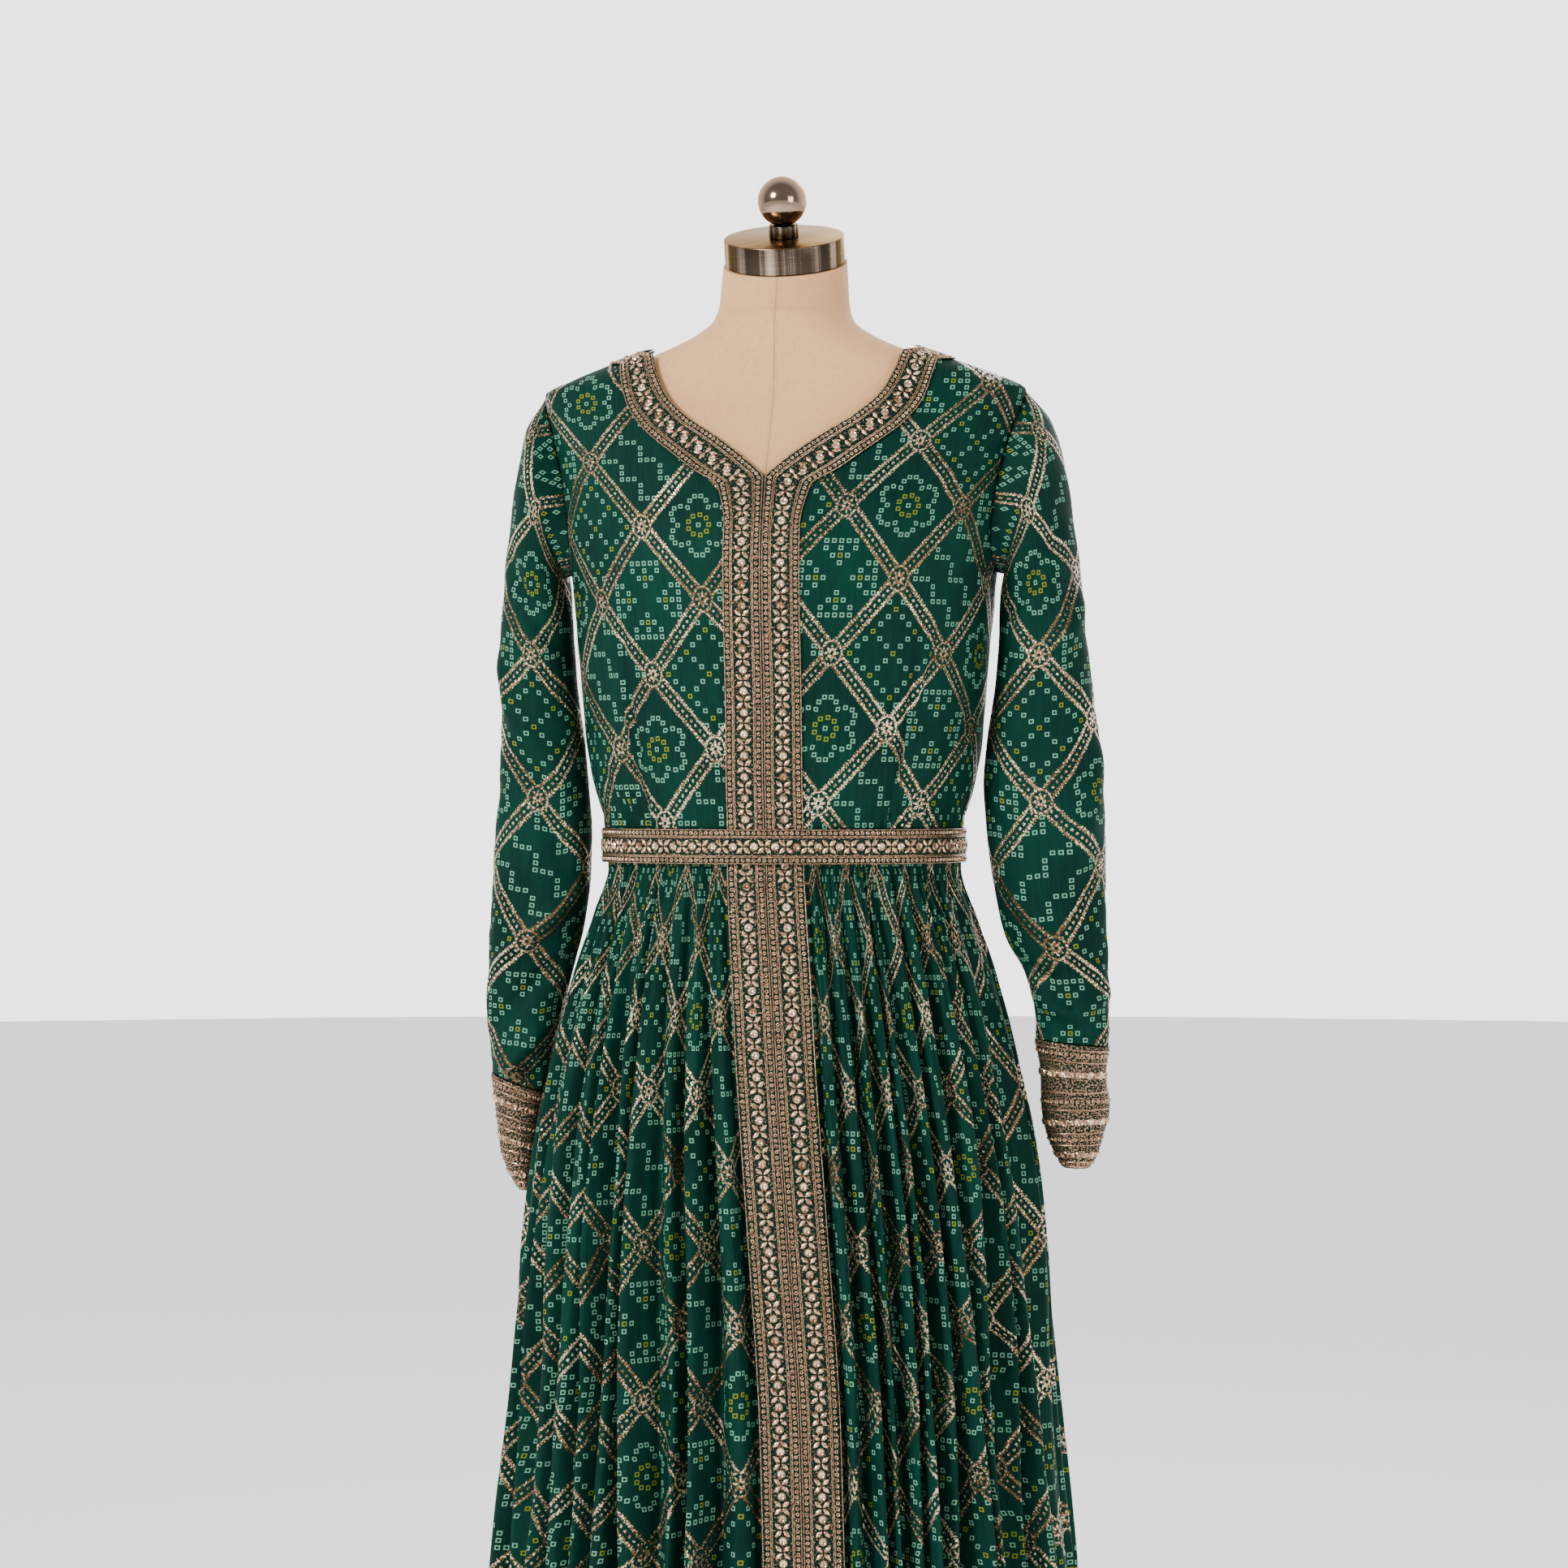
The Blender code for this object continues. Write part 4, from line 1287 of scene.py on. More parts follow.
@dataclass
class Finishes:
    """Every finish of the picture, built once."""

    cloth: Material
    trim: Material
    cuff: Material
    beads: Material
    sequins: Material
    cords: Material
    linen: Material
    cap: Material
    ball: Material
    stand: Material

    @classmethod
    def build(cls) -> Finishes:
        """Build all of them.

        Returns:
            The finishes.
        """
        # Each pair: the metal's own tone and its painted glint
        shiny = ZariMetal(dull=(0.24, 0.13, 0.072), painted_glint_tone=(0.98, 0.72, 0.5))
        corded = ZariMetal(dull=(0.14, 0.074, 0.04), painted_glint_tone=(0.7, 0.44, 0.27))
        return cls(
            cloth=PrintedGeorgette().build(),
            trim=TrimGround().build("trim_ground", worked=0.08),
            cuff=TrimGround().build("cuff_ground", worked=0.3),
            beads=ZariMetal().build("zari_beads", fine=520.0, roughness=0.34),
            sequins=shiny.build("zari_sequins", fine=85.0, roughness=0.22),
            cords=corded.build("zari_cords", fine=900.0, roughness=0.36),
            linen=Linen().build(),
            cap=BrushedSteel().build("cap_steel", polished=False),
            ball=BrushedSteel().build("ball_steel", polished=True),
            stand=PaintedMetal().build(),
        )


@dataclass
class Strip:
    """A long band of cloth: rows of points along it and columns across it."""

    points: Array
    normals: Array
    lengths: Array

    @classmethod
    def of(cls, points: Array, outward: float = 1.0) -> Strip:
        """Measure a band.

        Args:
            points: rows along the band, columns across it.
            outward: -1 where the columns run the other way round.

        Returns:
            The measured band.
        """
        middle = points[:, points.shape[1] // 2]
        steps = np.linalg.norm(np.diff(middle, axis=0), axis=1)
        lengths = np.concatenate([[0.0], np.cumsum(steps)])
        return cls(points, grid_normals(points) * outward, lengths)

    def place(self, along: float, share: float, lift: float = 0.0) -> Matrix:
        """A place on the band, as a matrix whose Y runs along it and whose Z points out.

        Args:
            along: distance along the band in metres.
            share: place across it, from 0 to 1.
            lift: height above its surface.

        Returns:
            The matrix.
        """
        row = float(np.interp(along, self.lengths, np.arange(len(self.lengths))))
        column = share * (self.points.shape[1] - 1)
        r = min(int(row), len(self.points) - 2)
        c = min(int(column), self.points.shape[1] - 2)
        fr = row - r
        fc = column - c

        def blend(grid: Array) -> Array:
            """Read a grid between its rows and columns.

            Args:
                grid: points or normals of the band.

            Returns:
                The value at the place.
            """
            low = grid[r, c] * (1.0 - fc) + grid[r, c + 1] * fc
            high = grid[r + 1, c] * (1.0 - fc) + grid[r + 1, c + 1] * fc
            return low * (1.0 - fr) + high * fr

        spot = blend(self.points)
        out = Vector(blend(self.normals)).normalized()
        forward = Vector(self.points[r + 1, c] - self.points[r, c])
        forward = (forward - out * forward.dot(out)).normalized()
        side = forward.cross(out)
        frame = Matrix((side, forward, out)).transposed().to_4x4()
        frame.translation = Vector(spot) + out * lift
        return frame

    @property
    def length(self) -> float:
        """Length of the band."""
        return float(self.lengths[-1])


class Ornament(Enum):
    """The small shapes that are sewn on the trims, as they stand in a piece's name."""

    BEAD = "beads"
    SEQUIN = "sequins"
    LEAF = "leaves"


@dataclass
class Embroidery:
    """Sewn ornaments, each kind drawn once and repeated over the trims."""

    finishes: Finishes
    bead_radius: float = 0.0016
    sequin_radius: float = 0.0033
    leaf_length: float = 0.007
    leaf_width: float = 0.0036
    bead_pitch: float = 0.0043
    flower_pitch: float = 0.017
    cord_pitch: float = 0.0028
    cord_radius: float = 0.00036
    margin: float = 0.0008
    bead_shares: tuple[float, ...] = (0.11, 0.89)
    cord_shares: tuple[float, ...] = (0.02, 0.2, 0.8, 0.98)
    leaf_turns: tuple[float, ...] = (48.0, 132.0, 228.0, 312.0)

    def template(self, kind: Ornament) -> bmesh.types.BMesh:
        """Draw one ornament lying on the XY plane.

        Args:
            kind: which ornament.

        Returns:
            A bmesh that the caller frees.
        """
        mesh = bmesh.new()
        if kind is Ornament.LEAF:
            bmesh.ops.create_circle(mesh, cap_ends=True, segments=8, radius=0.5)
            for vert in mesh.verts:
                vert.co.x *= self.leaf_width * (1.0 - abs(vert.co.y) * 0.9)
                vert.co.y *= self.leaf_length
            bmesh.ops.inset_region(
                mesh, faces=mesh.faces[:], thickness=0.0006, depth=0.0007, use_boundary=True
            )
            return mesh
        radius = self.bead_radius if kind is Ornament.BEAD else self.sequin_radius
        sides = 8 if kind is Ornament.BEAD else 12
        bmesh.ops.create_circle(mesh, cap_ends=True, segments=sides, radius=radius)
        rise = radius * 0.3
        bmesh.ops.inset_region(
            mesh, faces=mesh.faces[:], thickness=radius * 0.28, depth=rise, use_boundary=True
        )
        inner = [face for face in mesh.faces if len(face.verts) == sides]
        bmesh.ops.inset_region(
            mesh, faces=inner, thickness=radius * 0.32, depth=-rise * 0.8, use_boundary=True
        )
        if kind is Ornament.BEAD:
            inner = [face for face in mesh.faces if len(face.verts) == sides]
            bmesh.ops.delete(mesh, geom=inner, context="FACES")
        return mesh

    def scatter(self, name: str, kind: Ornament, places: Sequence[Matrix]) -> None:
        """Repeat an ornament over many places as one piece, and settle it.

        Args:
            name: first part of the piece's name.
            kind: which ornament.
            places: where each one lies.
        """
        name = "%s_%s" % (name, kind.value)
        material = self.finishes.sequins if kind is Ornament.SEQUIN else self.finishes.beads
        shape = self.template(kind)
        pattern = bpy.data.meshes.new(name + "_pattern")
        shape.to_mesh(pattern)
        shape.free()
        mesh = bmesh.new()
        count = len(pattern.vertices)
        for place in places:
            mesh.from_mesh(pattern)
            mesh.verts.ensure_lookup_table()
            bmesh.ops.transform(mesh, matrix=place, verts=mesh.verts[-count:])
        bpy.data.meshes.remove(pattern)
        settle(solid_object(name, mesh, material, 60.0), Slot.TRIM)

    def cord(self, name: str, paths: Sequence[Sequence[Matrix]], radius: float) -> None:
        """Lay metal cords along paths as one piece, each a low rounded ridge, and settle it.

        Args:
            name: first part of the piece's name.
            paths: places along each cord.
            radius: half width of a cord.
        """
        mesh = bmesh.new()
        across = Matrix.Rotation(math.pi / 2.0, 4, "X")
        for path in paths:
            edges = []
            for index, place in enumerate(path):
                swell = radius * (1.0 + 0.22 * (-1.0) ** index)
                ring = bmesh.ops.create_circle(
                    mesh, segments=5, radius=swell, matrix=place @ across
                )["verts"]
                edges.append(list({edge for vert in ring for edge in vert.link_edges}))
            for low, high in zip(edges, edges[1:]):
                bmesh.ops.bridge_loops(mesh, edges=low + high)
            bmesh.ops.holes_fill(mesh, edges=edges[0] + edges[-1], sides=5)
        bmesh.ops.recalc_face_normals(mesh, faces=mesh.faces)
        settle(solid_object(name + "_cords", mesh, self.finishes.cords, 70.0), Slot.TRIM)

    def aimed(self, place: Matrix, middle: Vector) -> Matrix:
        """Turn a place about its own Z, so that its Y points to a middle."""
        local = place.inverted() @ middle
        return place @ Matrix.Rotation(-math.atan2(local.x, local.y), 4, "Z")

    def dress_strip(self, name: str, strip: Strip) -> None:
        """Sew the full trim on a band: cords, bead rows, sequins and crossed leaves.

        Args:
            name: first part of the pieces' names.
            strip: the band.
        """
        length = strip.length
        beads = []
        count = int(length / self.bead_pitch)
        for share in self.bead_shares:
            for index in range(count):
                beads.append(strip.place((index + 0.5) * length / count, share, 0.0002))
        self.scatter(name, Ornament.BEAD, beads)
        pitch = length / max(1, round(length / self.flower_pitch))
        count = round(length / pitch)
        sequins = []
        leaves = []
        for index in range(count):
            sequins.append(strip.place((index + 0.5) * pitch, 0.5, 0.0002))
            middle = strip.place(index * pitch, 0.5, 0.0002).translation
            for turn in self.leaf_turns:
                angle = math.radians(turn)
                reach = self.leaf_length * 0.6
                along = index * pitch + math.cos(angle) * reach
                if not self.margin < along < length - self.margin:
                    continue
                share = 0.5 + math.sin(angle) * reach / BORDER
                leaves.append(self.aimed(strip.place(along, share, 0.0002), middle))
        self.scatter(name, Ornament.SEQUIN, sequins)
        self.scatter(name, Ornament.LEAF, leaves)
        paths = []
        spots = np.linspace(0.0006, length - 0.0006, int(length / self.cord_pitch))
        for share in self.cord_shares:
            paths.append([strip.place(float(spot), share, 0.0001) for spot in spots])
        for share, way in ((0.232, 1.0), (0.768, -1.0)):
            path = []
            for index, spot in enumerate(spots):
                path.append(strip.place(float(spot), share + way * 0.014 * (index % 2), 0.0001))
            paths.append(path)
        self.cord(name, paths, self.cord_radius)


@dataclass
class Bodice:
    """Two fronts with their borders, and the back."""

    finishes: Finishes
    embroidery: Embroidery
    rows: int = 112
    columns: int = 106
    left_start: tuple[float, float] = (0.066, 1.287)
    right_start: tuple[float, float] = (0.1, 1.271)
    back_start: float = 1.27
    dart_foot: tuple[float, float] = (0.098, 1.045)
    dart_lean: float = 0.3
    dart_point: float = 1.205
    dart_take: float = 0.014
    gather_pitch: float = 0.0064
    back_gather_pitch: float = 0.0066
    tuck_rows: int = 5
    tuck_depth: float = 0.0104
    tuck_inwards: float = 0.0008
    shoulder_rows: int = 4

    def front_curve(
        self, row: float, wanted: Array
    ) -> tuple[Array, Array, Array]:
        """Points of one row of the left front.

        Args:
            row: row number, whole or not.
            wanted: places from 0 to 2; up to 1 they cross the border, past 1 the rest.

        Returns:
            The points, their distances from the front edge and their angles.
        """
        edge_z, side_z, side_angle, _, border = ROWS(row)
        edge_section = BODICE(edge_z)
        side = min(math.radians(side_angle), float(seam_angle(BODICE(side_z), 1)))
        seam = float(seam_angle(edge_section, 1))
        if row <= NECK_POINT_ROW:
            edge = float(angle_at(edge_section, np.array(SEAM_GAP)))
        elif row <= NECKLINE_ROW:
            edge = float(angle_at(edge_section, NECK(edge_z)[0]))
        else:
            last = float(angle_at(edge_section, NECK(edge_z)[0]))
            edge = last + (seam - last) * (row - NECKLINE_ROW)
        edge = min(edge, seam)
        shares = np.linspace(0.0, 1.0, 61)
        z = edge_z + (side_z - edge_z) * shares
        samples = around(BODICE(z), edge + (side - edge) * shares, z)
        steps = np.linalg.norm(np.diff(samples, axis=0), axis=1)
        run = np.concatenate([[0.0], np.cumsum(steps)])
        border = min(border, run[-1] * 0.9)
        distance = np.where(
            wanted <= 1.0, wanted * border, border + (wanted - 1.0) * (run[-1] - border)
        )
        share = np.interp(distance, run, shares)
        z = edge_z + (side_z - edge_z) * share
        turn = edge + (side - edge) * share
        return around(BODICE(z), turn, z), distance, turn

    def front_grid(self, side: Side) -> tuple[Array, Array]:
        """Outer points and cloth coordinates of a front, before any mirroring.

        Args:
            side: the wearer's side.

        Returns:
            The points and the coordinates.
        """
        levels = np.linspace(0.0, TOP_ROW, self.rows)
        border = np.linspace(0.0, 1.0, BORDER_COLUMNS)
        rest = np.linspace(1.0, 2.0, self.columns - BORDER_COLUMNS + 1)[1:]
        wanted = np.concatenate([border, rest])
        curves = [self.front_curve(float(level), wanted) for level in levels]
        points = np.array([curve[0] for curve in curves])
        distance = np.array([curve[1] for curve in curves])
        height = points[:, :, 2]
        across = level_arc(BODICE, np.array([curve[2] for curve in curves]), height)
        start, lean = (self.left_start, 0.1) if side is Side.LEFT else (self.right_start, 0.07)
        upward = slope_height(height) - start[1]
        dart = self.dart_foot[0] + self.dart_lean * (height - self.dart_foot[1])
        taken = self.dart_take * np.clip((self.dart_point - height) / 0.16, 0.0, 1.0)
        past = np.clip((distance - dart) / 0.0015, 0.0, 1.0)
        sideways = across + taken * past - start[0] - lean * upward
        normal = grid_normals(points)
        push = add_creases(BODICE_CREASES[side], distance, height)
        push = push + 0.0005 * ripple(distance, height, 0.06, 2.0 * side.value)
        turns = distance * (2.0 * math.pi / self.gather_pitch)
        gather = np.sin(turns + 0.8 * np.sin(distance * 90.0))
        puff = np.exp(-((height - WAIST_Z) / 0.02)) * (distance > 0.036) * (distance < 0.215)
        uneven = 0.6 + 0.4 * np.sin(distance * 61.0 + 1.0)
        push = push + 0.0016 * gather * puff * uneven
        edge = np.clip((distance - BORDER) / 0.006, 0.0, 1.0)
        side_edge = np.clip((distance[:, -1:] - distance) / 0.01, 0.0, 1.0)
        top = np.clip(TOP_ROW - levels, 0.0, 1.0)[:, None]
        points = points + normal * (push * edge * side_edge * top)[..., None]
        return self.to_belt(points, np.stack([sideways, upward], axis=-1))

    def to_belt(self, points: Array, uv: Array) -> tuple[Array, Array]:
        """Add rows below the waist seam, down to the belt's upper edge, drawn in a little.

        Args:
            points: rows of points, the lowest first.
            uv: their cloth coordinates.

        Returns:
            Both with the rows added.
        """
        inwards = -level_outward(BODICE(points[0, :, 2]), points[0])
        rows = []
        coordinates = []
        for index in range(self.tuck_rows, 0, -1):
            share = index / self.tuck_rows
            row = points[0] + inwards * self.tuck_inwards * share ** 1.5
            row[:, 2] -= self.tuck_depth * share
            rows.append(row)
            coordinates.append(uv[0] - np.array((0.0, self.tuck_depth * share)))
        return np.concatenate([rows, points]), np.concatenate([coordinates, uv])

    def back_grid(self) -> tuple[Array, Array]:
        """Outer points and cloth coordinates of the left half of the back.

        Returns:
            The points and the coordinates.
        """
        levels = np.linspace(0.0, TOP_ROW, self.rows)[:, None]
        edge_z, edge_angle = np.moveaxis(BACKS(levels[:, 0]), -1, 0)[:, :, None]
        table = np.moveaxis(ROWS(levels[:, 0]), -1, 0)[:, :, None]
        side_z = table[1]
        side = np.minimum(np.radians(table[3]), seam_angle(BODICE(side_z), 2))
        edge_limit = seam_angle(BODICE(edge_z), 2)
        open_angle = np.where(levels < BACK_NECK_ROW, 0.0, edge_angle)
        edge = np.minimum(np.radians(open_angle), edge_limit)
        shares = np.linspace(0.0, 1.0, self.columns)[None, :]
        z = edge_z + (side_z - edge_z) * shares
        turn = math.pi - (edge + (side - edge) * shares)
        points = around(BODICE(z), turn, z)
        steps = np.linalg.norm(np.diff(points, axis=1), axis=2)
        distance = np.concatenate([np.zeros((len(points), 1)), np.cumsum(steps, axis=1)], axis=1)
        height = points[:, :, 2]
        across = level_arc(BODICE, math.pi - turn, height)
        push = 0.0012 * ripple(distance, height, 0.085, 5.0)
        hollow = np.exp(-(((distance - 0.09) / 0.02) ** 2))
        push = push - 0.002 * np.exp(-(((height - 1.1) / 0.05) ** 2)) * hollow
        gather = np.sin(distance * (2.0 * math.pi / self.back_gather_pitch))
        puff = np.exp(-((height - WAIST_Z) / 0.013)) * (distance < 0.21)
        side_edge = np.clip((distance[:, -1:] - distance) / 0.01, 0.0, 1.0)
        middle = np.clip(distance / 0.012, 0.0, 1.0)
        top = np.clip(TOP_ROW - levels, 0.0, 1.0)
        push = (push + 0.0009 * gather * puff) * side_edge * middle * top
        normal = -grid_normals(points)
        points = points + normal * push[..., None]
        upward = slope_height(height) - self.back_start
        return self.to_belt(points, np.stack([across, upward], axis=-1))

    def build(self) -> None:
        """Build the fronts, their borders and the back."""
        for side in Side:
            points, uv = self.front_grid(side)
            edge = slice(0, BORDER_COLUMNS)
            border = points[:, edge] + grid_normals(points)[:, edge] * (LAY_GAP + TRIM)
            border_uv = uv[:, edge]
            if side is Side.RIGHT:
                points = points[:, ::-1] * MIRROR
                uv = uv[:, ::-1] * UV_MIRROR
                border = border[:, ::-1] * MIRROR
                border_uv = border_uv[:, ::-1]
            name = "bodice_front_" + side.word
            item = cloth_object(name + "_cloth", points, uv, self.finishes.cloth)
            settle(item, Slot.CLOTH, name)
            name = "bodice_border_" + side.word
            item = cloth_object(name + "_cloth", border, border_uv, self.finishes.trim, TRIM_WALL)
            settle(item, Slot.TRIM, name)
            self.embroidery.dress_strip(name, Strip.of(border[:-self.shoulder_rows]))
        left, uv = self.back_grid()
        left = left[:, ::-1]
        uv = uv[:, ::-1]
        right = left[:, ::-1] * MIRROR
        right_uv = uv[:, ::-1] * UV_MIRROR
        first = cloth_object("bodice_back_cloth", left, uv, self.finishes.cloth, 0.0)
        other = cloth_object("bodice_back_half", right, right_uv, self.finishes.cloth, 0.0)
        mesh = bmesh.new()
        mesh.from_mesh(first.data)
        mesh.from_mesh(other.data)
        bmesh.ops.remove_doubles(mesh, verts=mesh.verts, dist=1e-6)
        mesh.to_mesh(first.data)
        mesh.free()
        bpy.data.objects.remove(other)
        add_wall(first, CLOTH_WALL)
        settle(first, Slot.CLOTH, "bodice_back")


@dataclass
class Skirt:
    """Two gathered fronts with their placket borders, and the gathered back."""

    finishes: Finishes
    embroidery: Embroidery
    rows: int = 132
    front_columns: int = 178
    back_columns: int = 300
    front_pleats: int = 23
    back_pleats: int = 44
    belt_rows: int = 7
    cloth_width: float = 0.6
    valley_depth: float = 2.25
    valley_power: float = 3.6
    power_change: float = 1.6

    def heights(self) -> Array:
        """Row heights, closer together near the waist.

        Returns:
            The heights from the hem up.
        """
        share = np.linspace(0.0, 1.0, self.rows)
        eased = share * 0.55 + (1.0 - (1.0 - share) ** 2.2) * 0.45
        return HEM_Z + (SKIRT_TOP_Z - HEM_Z) * eased

    def fold_wave(
        self, place: Array, valleys: Array, strengths: Array, z: Array
    ) -> tuple[Array, Array]:
        """Outward wave of the folds and of the fine gathers.

        Args:
            place: shares of the way round, with rows down.
            valleys: places of the valleys.
            strengths: strength of each fold.
            z: heights, one column.

        Returns:
            The folds' wave and the gathers' wave, each about -1 to 1.
        """
        count = len(valleys) - 1
        index = np.clip(np.searchsorted(valleys, place, side="right") - 1, 0, count - 1)
        width = valleys[index + 1] - valleys[index]
        part = (place - valleys[index]) / width
        part = part + 0.2 * np.sin(np.pi * part) ** 2 * np.sin(index * 2.7 + z * 4.0)
        vary = 1.0 + 0.26 * np.sin(z * 11.0 + index * 2.4) * np.clip((1.0 - z) * 4.0, 0.0, 1.0)
        power = self.valley_power + self.power_change * np.sin(index * 2.1 + 1.0)
        before = strengths[np.clip(index - 1, 0, count - 1)]
        here = strengths[index]
        after = strengths[np.clip(index + 1, 0, count - 1)]
        strength = np.where(
            part < 0.5,
            here + (0.5 - part) * (before - here) * (1.0 - part * 2.0),
            here + (part - 0.5) * (after - here) * (part * 2.0 - 1.0),
        )
        valley = np.abs(np.cos(np.pi * part)) ** power
        wave = (1.0 - self.valley_depth * valley) * strength * vary
        lean = 0.1 * np.sin(z * 23.0 + index * 1.9)
        gather = -np.cos(4.0 * np.pi * (part + lean * np.sin(np.pi * part) ** 2))
        return wave, gather

    def pleats(self, place: Array, z: Array, count: int, seed: float) -> Array:
        """Narrow uneven creases that run down from the belt and die out.

        Args:
            place: shares of the way round, one row.
            z: heights, one column.
            count: number of creases.
            seed: shifts the pattern.

        Returns:
            The push inwards, as a negative number of metres.
        """
        total = np.zeros((z.shape[0], place.shape[1]))
        down = BELT_FOOT_Z - z
        for index in range(count):
            k = index + seed
            spot = (index + 0.5 + 0.38 * math.sin(k * 2.39)) / count
            reach = 0.1 + 0.13 * (1.0 + math.sin(k * 1.71))
            deep = 0.0016 + 0.0014 * (1.0 + math.sin(k * 3.17))
            drift = 0.01 * math.sin(k * 0.9) * down / 0.3
            share = np.clip(down / reach, 0.0, 1.0)
            fade = (1.0 - share) ** 0.8 * np.clip(down / 0.008, 0.0, 1.0)
            width = (0.34 + 0.8 * share * reach) / count
            gap = (place - spot - drift) / width
            total = total - deep * fade * np.exp(-(gap ** 2))
        return total

    def surface(
        self, angle: Array, z: Array, push: Array, section: Array
    ) -> Array:
        """Points of the skirt, pushed out level from the section through its folds."""
        points = around(section, angle, z)
        return points + level_outward(section, points) * push[..., None]

    def front_grid(self, side: Side) -> tuple[Array, Array]:
        """Outer points and cloth coordinates of a skirt front.

        Args:
            side: the wearer's side.

        Returns:
            The points and the coordinates, from the placket to the side seam.
        """
        valleys = np.array(VALLEYS_LEFT if side is Side.LEFT else VALLEYS_RIGHT)
        strengths = np.array(STRENGTHS_LEFT if side is Side.LEFT else STRENGTHS_RIGHT)
        sign = side.value
        z = self.heights()[:, None]
        fine, fold, offset = np.moveaxis(FOLDS(z[:, 0]), -1, 0)[:, :, None]
        section = SKIRT(z) - (fine + fold)[..., None]
        flat = np.linspace(SEAM_GAP, SEAM_GAP + BORDER, BORDER_COLUMNS)[None, :]
        flat_angle = angle_at(section, offset + sign * flat)
        start = angle_at(section, offset + sign * (SEAM_GAP + BORDER * 1.12))
        stop = seam_angle(section, 1) * sign
        place = np.linspace(0.0, 1.0, self.front_columns)[None, :]
        sway = 0.01 * np.sin(z * 9.0 + place * 17.0) * np.sin(np.pi * place)
        place_here = np.clip(place + sway * np.clip((1.02 - z) * 3.0, 0.0, 1.0), 0.0, 1.0)
        fold_angle = start + (stop - start) * place
        wave, gather = self.fold_wave(place_here, valleys, strengths, z)
        calm = np.clip((1.0 - z) * 5.0, 0.0, 1.0)
        soft = ripple(place * 0.6, z * 0.35, 0.075, 3.0 * sign) * 0.0022 * calm
        fine_more = fine * 1.25 + 0.0006 * np.exp(-(((z - 0.8) / 0.08) ** 2))
        push = fold * wave + fine_more * gather + soft
        push = push + self.pleats(place, z, self.front_pleats, 1.0 + 5.0 * sign)
        push = push * np.clip((1.0 - place) / 0.02, 0.0, 1.0)
        flat_push = np.zeros((len(z), flat.shape[1]))
        angle = np.concatenate([flat_angle, fold_angle], axis=1)
        push = np.concatenate([flat_push, push], axis=1)
        points = self.surface(angle, z, push, section)
        points[:, -1, 1] = -SEAM_GAP
        across = self.cloth_run(points[:, flat.shape[1]:]) * self.cloth_width + BORDER
        across = np.concatenate([np.broadcast_to(flat, (len(z), flat.shape[1])), across], axis=1)
        uv = np.stack(np.broadcast_arrays(across * sign, z), axis=-1)
        return points, uv

    def cloth_run(self, points: Array) -> Array:
        """Share of each row's length that lies before each of its points.

        Args:
            points: rows of points.

        Returns:
            The shares, from 0 to 1 along each row.
        """
        steps = np.linalg.norm(np.diff(points, axis=1), axis=2)
        run = np.concatenate([np.zeros((len(points), 1)), np.cumsum(steps, axis=1)], axis=1)
        return run / run[:, -1:]

    def back_grid(self) -> tuple[Array, Array]:
        """Outer points and cloth coordinates of the skirt's back, from right to left.

        Returns:
            The points and the coordinates.
        """
        z = self.heights()[:, None]
        fine, fold, _ = np.moveaxis(FOLDS(z[:, 0]), -1, 0)[:, :, None]
        section = SKIRT(z) - (fine + fold)[..., None]
        share = np.linspace(0.0, 1.0, self.back_columns)[None, :]
        valleys = np.linspace(0.0, 1.0, BACK_FOLDS + 1)
        valleys = valleys + 0.006 * np.sin(valleys * 4.0 * np.pi)
        strengths = np.array([0.88 + 0.2 * math.sin(2.3 * k) for k in range(BACK_FOLDS)])
        stop = seam_angle(section, 2)
        angle = math.pi + stop - 2.0 * stop * share
        wave, gather = self.fold_wave(share, valleys, strengths, z)
        push = fold * wave + fine * 1.25 * gather
        push = push + self.pleats(share, z, self.back_pleats, 2.5)
        push = push * np.clip(np.minimum(share, 1.0 - share) / 0.01, 0.0, 1.0)
        points = self.surface(angle, z, push, section)
        points[:, 0, 1] = SEAM_GAP
        points[:, -1, 1] = SEAM_GAP
        across = self.cloth_run(points) * self.cloth_width * 2.0
        uv = np.stack(np.broadcast_arrays(across, z), axis=-1)
        return points[:, ::-1], uv[:, ::-1]

    def build(self) -> None:
        """Build the fronts, their borders and the back."""
        for side in Side:
            points, uv = self.front_grid(side)
            flip = side is Side.RIGHT
            if flip:
                points = points[:, ::-1]
                uv = uv[:, ::-1]
            name = "skirt_front_" + side.word
            item = cloth_object(name + "_cloth", points, uv, self.finishes.cloth)
            settle(item, Slot.CLOTH, name)
            normal = grid_normals(points)
            chosen = slice(-BORDER_COLUMNS, None) if flip else slice(0, BORDER_COLUMNS)
            border = points[:, chosen] + normal[:, chosen] * (LAY_GAP + TRIM)
            name = "skirt_border_" + side.word
            trim = self.finishes.trim
            cloth = cloth_object(name + "_cloth", border, uv[:, chosen], trim, TRIM_WALL)
            settle(cloth, Slot.TRIM, name)
            self.embroidery.dress_strip(name, Strip.of(border[:-self.belt_rows]))
        points, uv = self.back_grid()
        item = cloth_object("skirt_back_cloth", points[:, ::-1], uv[:, ::-1], self.finishes.cloth)
        settle(item, Slot.CLOTH, "skirt_back")


